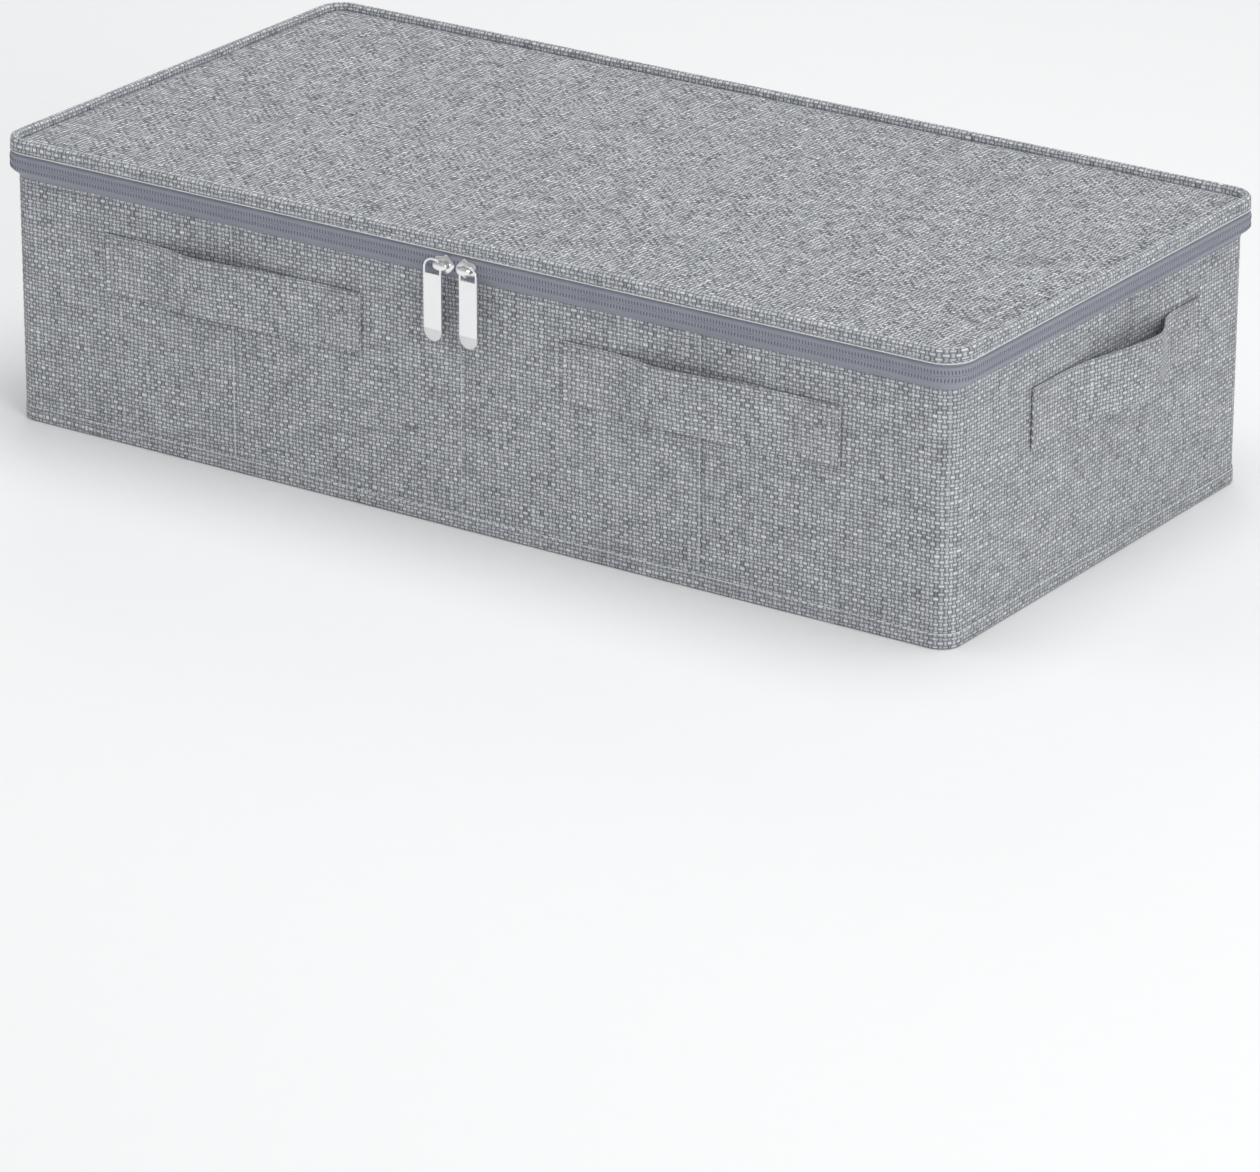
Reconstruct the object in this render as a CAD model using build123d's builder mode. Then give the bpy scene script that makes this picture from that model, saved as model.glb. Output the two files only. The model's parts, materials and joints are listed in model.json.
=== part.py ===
"""Fabric under bed box with a zipped, hinged lid.

Frame: millimetres, +Z up, +X along the length, the front faces -Y.
Origin: the centre of the underside, on the surface that the box stands on.

The walls are boards sewn between an outer cover and a lining. The lid is a board in a cover with a
raised, piped edge. A coil zip closes the lid along the front and both sides, and a fabric strip
hinges it at the back.
"""

import math
import os

from build123d import *

# ---------------------------------------------------------------- driving dimensions
# Body, over the outer covers
body_length = 600.0
body_depth = 298.0
wall_top = 142.0
corner_radius = 11.0

# Layers
cover_thickness = 1.0
board_thickness = 2.4
lining_thickness = 0.6
bottom_thickness = 1.0

# Boards in the long walls, one to each sewn pocket
boards_per_long_wall = 4
seam_gap = 3.0
board_end_clearance = 0.5
board_top_margin = 2.0
board_foot_margin = 0.5

# Hem that turns up round the foot of the walls
hem_height = 8.0
hem_thickness = 0.8
hem_lift = 0.4

# Loose base board and its fabric sleeve
base_board_thickness = 2.6
sleeve_thickness = 0.5
base_side_clearance = 1.5
base_corner_radius = 6.0
base_rest_gap = 0.2
lift_stop_gap = 1.0

# Zip: tape, coil and where the chain runs
zip_band_height = 13.0
chain_rise = 6.8
chain_gap = 1.0
tape_thickness = 0.7
tape_proud = 0.4
tape_sewn_overlap = 1.5
coil_height = 3.0
coil_seat = 0.8
coil_depth = 2.2

# Lid
lid_overhang = 5.0
skirt_thickness = 1.2
lid_lining_recess = 0.6
piping_width = 5.0
piping_height = 3.4
piping_round = 1.5

# Hinge strip at the back
hinge_strip_thickness = 0.8
hinge_axis_stand_off = 1.5
hinge_end_gap = 1.0
moving_clearance = 0.3

# Handles
handle_width = 34.0
handle_drop = 39.0
handle_thickness = 1.4
handle_patch = 28.0
handle_length = 170.0
handle_crest_share = 0.31
front_handle_offset = 150.0
side_handle_offset = 11.0
side_handle_gap = 12.5
pull_handle_clearance = 0.5

# Zip slider
slider_length = 12.5
slider_tail_height = 7.2
slider_shoulder_height = 11.0
slider_shoulder_at = 7.2
slider_nose_height = 2.4
slider_parting = 0.5
plate_thickness = 1.1
slider_running_gap = 0.3
inner_plate_height = 7.8
post_thickness = 0.4
post_length = 3.0
crown_height = 5.2
crown_bar = 1.2
crown_width = 2.2
crown_tail_leg = 0.6
crown_nose_leg = 9.2
crown_leg = 1.3

# Zip pull
pull_width = 11.4
pull_length = 46.0
pull_thickness = 1.2
ring_wire = 1.2
ring_window = 3.0
ring_hook_angle = 60.0
left_hook_at = 4.7
right_hook_at = 7.4
pull_bevel_length = 7.0
pull_bevel_depth = 0.5
pull_edge_round = 0.25

# ---------------------------------------------------------------- levels and outlines
wall_thickness = cover_thickness + board_thickness + lining_thickness
chain_level = wall_top + chain_rise
skirt_bottom = wall_top + zip_band_height
lid_lining_level = skirt_bottom + lid_lining_recess
lid_board_level = lid_lining_level + lining_thickness
lid_cover_level = lid_board_level + board_thickness
piping_level = lid_cover_level + cover_thickness
lid_inner_offset = lid_overhang - skirt_thickness - tape_thickness
tape_out = lid_overhang + tape_proud
tape_in = tape_out - tape_thickness
coil_in = tape_in - coil_depth
tape_straight = coil_height + coil_seat
pull_middle_out = tape_out + slider_running_gap + plate_thickness + (crown_height - crown_bar) / 2
front_handle_gap = pull_middle_out - pull_thickness / 2 - pull_handle_clearance - handle_thickness
handle_middle_height = wall_top - handle_drop
half_length = body_length / 2
half_depth = body_depth / 2
hinge_axis_y = half_depth + lid_overhang + hinge_axis_stand_off
hinge_axis_z = chain_level

SIDES = ("front", "right", "back", "left")


def save(part, label):
    """Name a finished piece and write it as its own STEP file."""
    part.label = label
    export_step(part, f"parts/{label}.step")


def outline(offset):
    """A rounded rectangle that lies `offset` outside the body's outer face."""
    return RectangleRounded(
        body_length + 2 * offset, body_depth + 2 * offset, corner_radius + offset, mode=Mode.PRIVATE
    )


def sheet_piece(label, offset, level, thickness):
    """A flat sheet with the body's outline, grown by `offset`."""
    with BuildPart() as sheet:
        with BuildSketch(Plane.XY.offset(level)):
            add(outline(offset))
        extrude(amount=thickness)
    save(sheet.part, label)


def side_region(side):
    """The wedge of plan that one wall takes, cut off along the diagonals of its two corners."""
    x = half_length - corner_radius
    y = half_depth - corner_radius
    reach = 3 * corner_radius
    corners = [(x, -y), (x, y), (-x, y), (-x, -y)]
    outer = [(px + math.copysign(reach, px), py + math.copysign(reach, py)) for px, py in corners]
    last = {"front": 3, "right": 0, "back": 1, "left": 2}[side]
    first = (last + 1) % 4
    return [corners[last], outer[last], outer[first], corners[first]]


def wall_piece(label, side, outer, inner, level, top):
    """One wall's share of an upright shell, from the offset `outer` in to the offset `inner`."""
    with BuildPart() as wall:
        with BuildSketch(Plane.XY.offset(level)):
            add(outline(outer))
            add(outline(inner), mode=Mode.SUBTRACT)
            Polygon(*side_region(side), align=None, mode=Mode.INTERSECT)
        extrude(amount=top - level)
    save(wall.part, label)


def ring_piece(label, outer, inner, level, top, edge_round=0.0):
    """A closed band round the whole box, its top edges rounded if `edge_round` is given."""
    with BuildPart() as ring:
        with BuildSketch(Plane.XY.offset(level)):
            add(outline(outer))
            add(outline(inner), mode=Mode.SUBTRACT)
        extrude(amount=top - level)
        if edge_round:
            fillet(ring.faces().sort_by(Axis.Z)[-1].edges(), edge_round)
    save(ring.part, label)


# ---------------------------------------------------------------- body
def make_bottom():
    """The bottom cover and the hem that turns up outside the walls."""
    sheet_piece("bottom_cover", 0.0, 0.0, bottom_thickness)
    ring_piece("bottom_hem", hem_thickness, 0.0, hem_lift, hem_lift + hem_height)


def make_walls():
    """Outer covers and linings, one of each to a wall."""
    lining_out = cover_thickness + board_thickness
    for side in SIDES:
        wall_piece(f"{side}_cover", side, 0.0, -cover_thickness, bottom_thickness, wall_top)
        wall_piece(f"{side}_lining", side, -lining_out, -wall_thickness, bottom_thickness, wall_top)


def make_board(label, middle, width, facing):
    """One upright wall board. `facing` is the outward direction of its wall."""
    foot = bottom_thickness + board_foot_margin
    height = wall_top - board_top_margin - foot
    inset = cover_thickness + board_thickness / 2
    along = facing.cross(Vector(0, 0, 1))
    reach = half_depth if facing.X == 0 else half_length
    place = facing * (reach - inset) + along * middle + Vector(0, 0, foot)
    with BuildPart() as board:
        with BuildSketch(Plane(origin=place, x_dir=along, z_dir=(0, 0, 1))):
            Rectangle(width, board_thickness)
        extrude(amount=height)
    save(board.part, label)


def make_wall_boards():
    """Four boards in each long wall, between the fold seams, and one in each short wall."""
    pitch = body_length / boards_per_long_wall
    limit = half_length - corner_radius - board_end_clearance
    for side, facing in (("front", Vector(0, -1, 0)), ("back", Vector(0, 1, 0))):
        for number in range(boards_per_long_wall):
            start = max(-half_length + number * pitch + seam_gap / 2, -limit)
            end = min(-half_length + (number + 1) * pitch - seam_gap / 2, limit)
            make_board(f"{side}_board_{number + 1}", (start + end) / 2, end - start, facing)
    short_width = body_depth - 2 * (corner_radius + board_end_clearance)
    make_board("right_board", 0.0, short_width, Vector(1, 0, 0))
    make_board("left_board", 0.0, short_width, Vector(-1, 0, 0))


def make_base_board():
    """The loose stiffener in the bottom, in a sleeve of lining fabric that is open at its ends."""
    length = body_length - 2 * (wall_thickness + base_side_clearance)
    depth = body_depth - 2 * (wall_thickness + base_side_clearance)
    foot = bottom_thickness + base_rest_gap
    with BuildPart() as board:
        with BuildSketch(Plane.XY.offset(foot + sleeve_thickness)):
            RectangleRounded(length, depth, base_corner_radius)
            Rectangle(length, depth - 2 * sleeve_thickness, mode=Mode.INTERSECT)
        extrude(amount=base_board_thickness)
    save(board.part, "base_board")
    sleeve_height = base_board_thickness + 2 * sleeve_thickness
    with BuildPart() as sleeve:
        middle = foot + sleeve_height / 2
        with BuildSketch(Plane(origin=(-length / 2, 0, middle), x_dir=(0, 1, 0), z_dir=(1, 0, 0))):
            Rectangle(depth, sleeve_height)
            Rectangle(depth - 2 * sleeve_thickness, base_board_thickness, mode=Mode.SUBTRACT)
        extrude(amount=length)
        with BuildSketch(Plane.XY.offset(foot)):
            RectangleRounded(length, depth, base_corner_radius)
        extrude(amount=sleeve_height, mode=Mode.INTERSECT)
    save(sleeve.part, "base_sleeve")
    return foot + sleeve_height


# ---------------------------------------------------------------- zip
def zip_strip(label, profile):
    """Sweep a section along the zip, from one end of the back round the front to the other end.

    The section's points are (distance outside the body's face, height).
    """
    x = half_length - corner_radius
    y = half_depth - corner_radius
    with BuildPart() as strip:
        with BuildLine() as run:
            RadiusArc((-x, half_depth), (-half_length, y), -corner_radius)
            Line((-half_length, y), (-half_length, -y))
            RadiusArc((-half_length, -y), (-x, -half_depth), -corner_radius)
            Line((-x, -half_depth), (x, -half_depth))
            RadiusArc((x, -half_depth), (half_length, -y), -corner_radius)
            Line((half_length, -y), (half_length, y))
            RadiusArc((half_length, y), (x, half_depth), -corner_radius)
        start = Plane(origin=(-x, half_depth, 0), x_dir=(0, 1, 0), z_dir=(1, 0, 0))
        with BuildSketch(start):
            Polygon(*profile, align=None)
        sweep(path=run.line)
    save(strip.part, label)


def make_zip():
    """Two tapes and two coils. The lower ones are sewn to the walls, the upper ones to the lid."""
    low = chain_level - chain_gap / 2
    high = chain_level + chain_gap / 2
    bend_low = low - tape_straight
    bend_high = high + tape_straight
    seam_low = wall_top - tape_sewn_overlap
    skirt_in = lid_overhang - skirt_thickness
    zip_strip(
        "zipper_tape_lower",
        [
            (0.0, seam_low),
            (tape_thickness, seam_low),
            (tape_thickness, wall_top - 0.6 * tape_thickness),
            (tape_out, bend_low),
            (tape_out, low),
            (tape_in, low),
            (tape_in, bend_low + 0.4 * tape_thickness),
            (0.0, wall_top),
        ],
    )
    zip_strip(
        "zipper_tape_upper",
        [
            (tape_in, high),
            (tape_out, high),
            (tape_out, bend_high),
            (skirt_in, skirt_bottom - 0.3),
            (skirt_in, lid_board_level),
            (skirt_in - tape_thickness, lid_board_level),
            (skirt_in - tape_thickness, skirt_bottom - 0.5),
            (tape_in, bend_high - 0.2),
        ],
    )
    for label, foot in (("zipper_coil_lower", low - coil_height), ("zipper_coil_upper", high)):
        zip_strip(
            label,
            [(coil_in, foot), (tape_in, foot), (tape_in, foot + coil_height), (coil_in, foot + coil_height)],
        )


def front_plane(out, middle_x, level):
    """A plane facing the front, `out` in front of the body's face, with its Y axis up."""
    return Plane(origin=(middle_x, -half_depth - out, level), x_dir=(1, 0, 0), z_dir=(0, -1, 0))


def slider_outline(hand):
    """The slider's plate, from the tail to the nose. `hand` is 1 if the nose points to +X."""
    tail = slider_tail_height / 2
    shoulder = slider_shoulder_height / 2
    nose = slider_nose_height / 2
    half = [(0.0, tail), (slider_shoulder_at, shoulder), (slider_length, nose)]
    ring = half + [(s, -h) for s, h in reversed(half)]
    return [(hand * (s - slider_length / 2), h) for s, h in ring]


def make_slider(label, hand):
    """One cast slider: outer plate, inner plate, post and crown. It stands on its side of centre."""
    middle = -hand * (slider_parting + slider_length / 2)
    plate_face = tape_out + slider_running_gap
    crown_base = plate_face + plate_thickness
    inner_face = coil_in - slider_running_gap
    with BuildPart() as slider:
        with BuildSketch(front_plane(plate_face, middle, chain_level)):
            Polygon(*slider_outline(hand), align=None)
        extrude(amount=plate_thickness)
        with BuildSketch(front_plane(inner_face - plate_thickness, middle, chain_level)):
            RectangleRounded(slider_length - 1.0, inner_plate_height, 1.5)
        extrude(amount=plate_thickness)
        with BuildSketch(front_plane(inner_face, middle, chain_level)):
            with Locations((hand * (slider_length / 2 - post_length), 0)):
                Rectangle(post_length, post_thickness)
        extrude(amount=plate_face - inner_face)
        fillet(slider.faces().sort_by(Axis.Y)[0].edges(), 0.4)
        top = Plane(
            origin=(middle, -half_depth - crown_base, chain_level - crown_width / 2),
            x_dir=(hand, 0, 0),
            z_dir=(0, 0, 1),
        )
        window = crown_nose_leg - crown_tail_leg - crown_leg
        with BuildSketch(top):
            with Locations((-slider_length / 2 + crown_tail_leg + (window + 2 * crown_leg) / 2, 0)):
                with Locations((0, -hand * crown_height / 2)):
                    Rectangle(window + 2 * crown_leg, crown_height)
                with Locations((0, -hand * (crown_height - crown_bar) / 2)):
                    Rectangle(window, crown_height - crown_bar, mode=Mode.SUBTRACT)
        extrude(amount=crown_width)
        front_edges = slider.faces().sort_by(Axis.Y)[0].edges()
        fillet(front_edges, 0.45)
    save(slider.part, label)


def make_pull(label, hand):
    """One pull: a flat tab under a half-round ring, which slides in the slider's crown."""
    radius = (pull_width - ring_wire) / 2
    tip = pull_length - pull_width / 2
    out = pull_middle_out
    centre_x, centre_z = ring_centre(hand)
    plane = front_plane(out - pull_thickness / 2, centre_x, centre_z)
    with BuildPart() as pull:
        with BuildSketch(plane):
            Circle(pull_width / 2)
            Circle(pull_width / 2 - ring_wire, mode=Mode.SUBTRACT)
            Rectangle(pull_width, radius + ring_wire, align=(Align.CENTER, Align.MAX), mode=Mode.SUBTRACT)
            for side in (-1, 1):
                with Locations((side * radius, 0)):
                    Rectangle(ring_wire, ring_window, align=(Align.CENTER, Align.MAX))
            with Locations((0, -ring_window)):
                Rectangle(
                    pull_width, tip - ring_window - pull_width / 2, align=(Align.CENTER, Align.MAX)
                )
            with Locations((0, pull_width / 2 - tip)):
                Circle(pull_width / 2)
        extrude(amount=pull_thickness)
        bevel_top = pull_width / 2 + pull_bevel_length - pull_width / 2 - tip
        bevel_side = Plane(
            origin=(centre_x - pull_width, -half_depth - out - pull_thickness / 2, centre_z + bevel_top),
            x_dir=(0, 1, 0),
            z_dir=(1, 0, 0),
        )
        with BuildSketch(bevel_side):
            Polygon(
                (-1, 0),
                (0, 0),
                (pull_bevel_depth, -pull_bevel_length - 1),
                (-1, -pull_bevel_length - 1),
                align=None,
            )
        extrude(amount=2 * pull_width, mode=Mode.SUBTRACT)
        back_edges = pull.faces().sort_by(Axis.Y)[-1].edges()
        fillet(back_edges, pull_edge_round)
    save(pull.part, label)


def ring_centre(hand):
    """Where a pull's ring turns. The crown holds the ring at the hook angle from its top."""
    radius = (pull_width - ring_wire) / 2
    angle = math.radians(ring_hook_angle)
    hook_at = left_hook_at if hand == 1 else right_hook_at
    hook_x = -hand * (slider_parting + slider_length - hook_at)
    return hook_x - hand * radius * math.sin(angle), chain_level - radius * math.cos(angle)


# ---------------------------------------------------------------- lid
def make_lid():
    """The lid's lining, board and cover, its skirt and the piping round its top edge."""
    sheet_piece("lid_lining", lid_inner_offset, lid_lining_level, lining_thickness)
    sheet_piece("lid_board", lid_inner_offset, lid_board_level, board_thickness)
    sheet_piece("lid_cover", lid_overhang - skirt_thickness, lid_cover_level, cover_thickness)
    ring_piece("lid_skirt", lid_overhang, lid_overhang - skirt_thickness, skirt_bottom, piping_level)
    ring_piece(
        "lid_piping",
        lid_overhang,
        lid_overhang - piping_width,
        piping_level,
        piping_level + piping_height,
        piping_round,
    )


def make_hinge_strip():
    """The fabric strip along the back, between the zip's ends, that the lid turns on."""
    foot = wall_top - tape_sewn_overlap
    head = skirt_bottom - moving_clearance
    crest = hinge_axis_y - half_depth
    length = body_length - 2 * (corner_radius + hinge_end_gap)
    start = Plane(origin=(-length / 2, half_depth, 0), x_dir=(0, 1, 0), z_dir=(1, 0, 0))
    with BuildPart() as strip:
        with BuildSketch(start):
            with BuildLine():
                Line((0, foot), (0, wall_top))
                ThreePointArc(
                    (0, wall_top),
                    (crest - hinge_strip_thickness / 2, chain_level),
                    (lid_overhang - hinge_strip_thickness, head),
                )
                Line((lid_overhang - hinge_strip_thickness, head), (lid_overhang, head))
                ThreePointArc(
                    (lid_overhang, head),
                    (crest + hinge_strip_thickness / 2, chain_level),
                    (hinge_strip_thickness, wall_top),
                )
                Line((hinge_strip_thickness, wall_top), (hinge_strip_thickness, foot))
                Line((hinge_strip_thickness, foot), (0, foot))
            make_face()
        extrude(amount=length)
    save(strip.part, "hinge_strip")


# ---------------------------------------------------------------- handles
def make_handle(label, middle, facing, gap, crest_share):
    """A strap sewn flat at both ends that bows away from the wall between them.

    `middle` is its place along the wall and `crest_share` how far along its free run the bow peaks.
    """
    along = facing.cross(Vector(0, 0, -1))
    reach = half_depth if facing.X == 0 else half_length
    origin = facing * reach + along * middle + Vector(0, 0, handle_middle_height - handle_width / 2)
    half = handle_length / 2
    bend = half - handle_patch
    crest = -bend + 2 * bend * crest_share
    rise_middle = (crest - bend) / 2
    fall_middle = (crest + bend) / 2
    rise_radius = bow_radius(rise_middle + bend, gap / 2)
    fall_radius = bow_radius(bend - fall_middle, gap / 2)
    with BuildPart() as handle:
        with BuildSketch(Plane(origin=origin, x_dir=along, z_dir=(0, 0, 1))):
            with BuildLine() as inside:
                Line((-half, 0), (-bend, 0))
                RadiusArc((-bend, 0), (rise_middle, -gap / 2), -rise_radius)
                RadiusArc((rise_middle, -gap / 2), (crest, -gap), rise_radius)
                RadiusArc((crest, -gap), (fall_middle, -gap / 2), fall_radius)
                RadiusArc((fall_middle, -gap / 2), (bend, 0), -fall_radius)
                Line((bend, 0), (half, 0))
                offset(inside.line, amount=handle_thickness, side=Side.RIGHT)
            make_face()
        extrude(amount=handle_width)
    save(handle.part, label)


def bow_radius(run, rise):
    """The radius of an arc that starts level and gains `rise` over `run`."""
    return (run**2 + rise**2) / (2 * rise)


def make_handles():
    """Two handles on the front and one on each end, all cut alike."""
    front = Vector(0, -1, 0)
    late = 1 - handle_crest_share
    for name, turn in (("left", -1), ("right", 1)):
        label = f"front_{name}_handle"
        make_handle(label, turn * front_handle_offset, front, front_handle_gap, handle_crest_share)
    make_handle("right_handle", side_handle_offset, Vector(1, 0, 0), side_handle_gap, late)
    make_handle("left_handle", -side_handle_offset, Vector(-1, 0, 0), side_handle_gap, handle_crest_share)


# ---------------------------------------------------------------- build
os.makedirs("parts", exist_ok=True)
make_bottom()
make_walls()
make_wall_boards()
base_top = make_base_board()
make_zip()
make_lid()
make_hinge_strip()
make_handles()
for name, nose in (("left", 1), ("right", -1)):
    make_slider(f"slider_{name}", nose)
    make_pull(f"pull_{name}", nose)

print("lid hinge axis y, z:", hinge_axis_y, hinge_axis_z)
for hand in (1, -1):
    print("pull axis x, z:", [round(value, 3) for value in ring_centre(hand)])
print("slider travel:", half_length - corner_radius - slider_length - slider_parting)
print("base board lift:", round(lid_lining_level - lift_stop_gap - base_top, 3))
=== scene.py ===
"""Under bed box: its cloth, stitching, zip and metal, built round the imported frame.

Lengths are metres in the frame's axes: +X along the box, the front faces -Y, +Z up and the floor at
z = 0. A place on a wall is given by its run, the distance round the box from the middle of the
back, and by how far out of the wall's face it lies.
"""

import json
import logging
import math
from collections.abc import Callable, Iterable, Sequence
from dataclasses import dataclass
from enum import Enum

import bmesh
import bpy
from mathutils import Matrix, Vector, noise

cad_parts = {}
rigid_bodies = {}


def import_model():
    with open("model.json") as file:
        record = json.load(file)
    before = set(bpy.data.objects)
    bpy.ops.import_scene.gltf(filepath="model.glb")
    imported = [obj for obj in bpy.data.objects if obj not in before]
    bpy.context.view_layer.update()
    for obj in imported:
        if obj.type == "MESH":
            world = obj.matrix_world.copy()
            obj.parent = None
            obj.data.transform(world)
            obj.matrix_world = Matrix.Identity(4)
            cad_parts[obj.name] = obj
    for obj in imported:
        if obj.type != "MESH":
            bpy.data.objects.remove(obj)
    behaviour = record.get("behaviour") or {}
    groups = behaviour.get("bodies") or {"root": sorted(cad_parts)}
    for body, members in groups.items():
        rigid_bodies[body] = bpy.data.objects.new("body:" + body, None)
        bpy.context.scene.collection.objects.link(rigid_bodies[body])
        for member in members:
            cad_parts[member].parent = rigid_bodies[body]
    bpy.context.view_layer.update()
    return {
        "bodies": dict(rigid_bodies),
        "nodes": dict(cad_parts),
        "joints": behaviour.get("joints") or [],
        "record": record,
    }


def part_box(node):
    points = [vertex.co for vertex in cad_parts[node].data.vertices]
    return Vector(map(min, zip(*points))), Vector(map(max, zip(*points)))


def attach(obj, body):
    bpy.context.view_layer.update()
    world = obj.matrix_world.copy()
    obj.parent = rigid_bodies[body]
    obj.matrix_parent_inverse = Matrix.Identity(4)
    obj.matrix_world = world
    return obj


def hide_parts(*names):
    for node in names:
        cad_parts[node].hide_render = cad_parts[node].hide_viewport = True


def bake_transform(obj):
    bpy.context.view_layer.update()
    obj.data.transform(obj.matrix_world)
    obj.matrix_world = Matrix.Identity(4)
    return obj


log = logging.getLogger("under_bed_box")
MM = 0.001
UP = Vector((0.0, 0.0, 1.0))
Colour = tuple[float, float, float]
Section = list[tuple[float, float]]
Socket = bpy.types.NodeSocket
Material = bpy.types.Material


class Hand(Enum):
    """Which slider and pull: the left slider's nose points to +X and the right one's to -X."""

    LEFT = 1
    RIGHT = -1


class Side(Enum):
    """A wall of the box, with the direction that it faces."""

    FRONT = (0.0, -1.0)
    RIGHT = (1.0, 0.0)
    BACK = (0.0, 1.0)
    LEFT = (-1.0, 0.0)

    @property
    def out(self) -> Vector:
        """The wall's outward direction."""
        return Vector((*self.value, 0.0))

    @property
    def along(self) -> Vector:
        """The direction along the wall, to the right for someone who faces it."""
        return UP.cross(self.out)


# --- finishes
class NodeTree:
    """A material being wired up, with short calls for the nodes that the finishes share."""

    def __init__(self, name: str, roughness: float) -> None:
        """Starts a material with one Principled shader.

        Args:
            name: The material's name.
            roughness: The shader's roughness.
        """
        self.material = bpy.data.materials.new(name)
        self.material.use_nodes = True
        self.tree = self.material.node_tree
        self.shader = self.tree.nodes["Principled BSDF"]
        self.shader.inputs["Roughness"].default_value = roughness

    def put(self, socket: Socket, value: object) -> None:
        """Links a socket to another, or sets its number.

        Args:
            socket: The input to feed.
            value: An output socket, a number or a tuple.
        """
        if isinstance(value, Socket):
            self.tree.links.new(value, socket)
        else:
            socket.default_value = value

    def give(self, **values: object) -> None:
        """Feeds the shader's inputs, named with _ for each space."""
        for name, value in values.items():
            self.put(self.shader.inputs[name.replace("_", " ")], value)

    def node(self, kind: str, values: dict[int | str, object], **settings: object) -> bpy.types.Node:
        """Adds a node.

        Args:
            kind: The node's type name.
            values: Its inputs by name or number.
            **settings: Its properties.

        Returns:
            The node.
        """
        made = self.tree.nodes.new(kind)
        for key, value in settings.items():
            setattr(made, key, value)
        for key, value in values.items():
            self.put(made.inputs[key], value)
        return made

    def sum(self, operation: str, *values: object) -> Socket:
        """One step of arithmetic, such as "ADD", on one to three numbers."""
        return self.node("ShaderNodeMath", dict(enumerate(values)), operation=operation).outputs[0]

    def point(self, x: object, y: object, z: object = 0.0) -> Socket:
        """A vector from three numbers."""
        return self.node("ShaderNodeCombineXYZ", {0: x, 1: y, 2: z}).outputs[0]

    def speckle(self, where: object, scale: float, detail: float = 2.0) -> Socket:
        """Smooth noise from 0 to 1 at a place."""
        values = {"Vector": where, "Scale": scale, "Detail": detail, "Roughness": 0.55}
        return self.node("ShaderNodeTexNoise", values).outputs["Fac"]

    def choose(self, share: object, low: object, high: object) -> Socket:
        """A number between two others."""
        return self.node("ShaderNodeMix", {0: share, 2: low, 3: high}, data_type="FLOAT").outputs[0]

    def tint(self, share: object, low: object, high: object, how: str = "MIX") -> Socket:
        """A colour between two others.

        Args:
            share: 0 for the first colour and 1 for the second.
            low: The first colour, or an output socket.
            high: The second.
            how: The way that they are blended.

        Returns:
            The blended colour.
        """
        made = self.node("ShaderNodeMix", {0: share}, data_type="RGBA", blend_type=how)
        self.put(made.inputs[6], low if isinstance(low, Socket) else (*low, 1.0))
        self.put(made.inputs[7], high if isinstance(high, Socket) else (*high, 1.0))
        return made.outputs[2]

    def ramp(self, share: object, stops: Sequence[tuple[float, Colour]]) -> Socket:
        """A colour looked up along a row of stops.

        Args:
            share: Where to look, from 0 to 1.
            stops: Each stop's place and colour.

        Returns:
            The colour there.
        """
        made = self.node("ShaderNodeValToRGB", {0: share})
        ramp = made.color_ramp
        while len(ramp.elements) < len(stops):
            ramp.elements.new(0.5)
        for element, (place, colour) in zip(ramp.elements, stops):
            element.position = place
            element.color = (*colour, 1.0)
        return made.outputs[0]

    def relief(self, height: object, depth: float, strength: float = 1.0) -> None:
        """Bumps the shader's surface.

        Args:
            height: The height, from 0 to 1.
            depth: What 1 stands for.
            strength: How strongly it shows.
        """
        values = {"Height": height, "Distance": depth, "Strength": strength}
        bump = self.node("ShaderNodeBump", values).outputs[0]
        self.put(self.shader.inputs["Normal"], bump)

    def cloth_place(self) -> tuple[Socket, Socket, Socket]:
        """The place on the cloth, as a vector and its two numbers, in metres.

        Returns:
            The vector, the distance along the cloth and the distance across it.
        """
        place = self.node("ShaderNodeUVMap", {}, uv_map="cloth").outputs[0]
        parts = self.node("ShaderNodeSeparateXYZ", {0: place})
        return place, parts.outputs[0], parts.outputs[1]

    def object_place(self) -> Socket:
        """The place in the box's own axes, in metres."""
        return self.node("ShaderNodeTexCoord", {}).outputs["Object"]


def shaded(colour: Colour, share: float) -> Colour:
    """A colour, darker or lighter."""
    return tuple(min(share * part, 1.0) for part in colour)


@dataclass(frozen=True)
class Finish:
    """A finish that can be built as a material.

    Attributes:
        name: The material's name.
    """

    name: str


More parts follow.
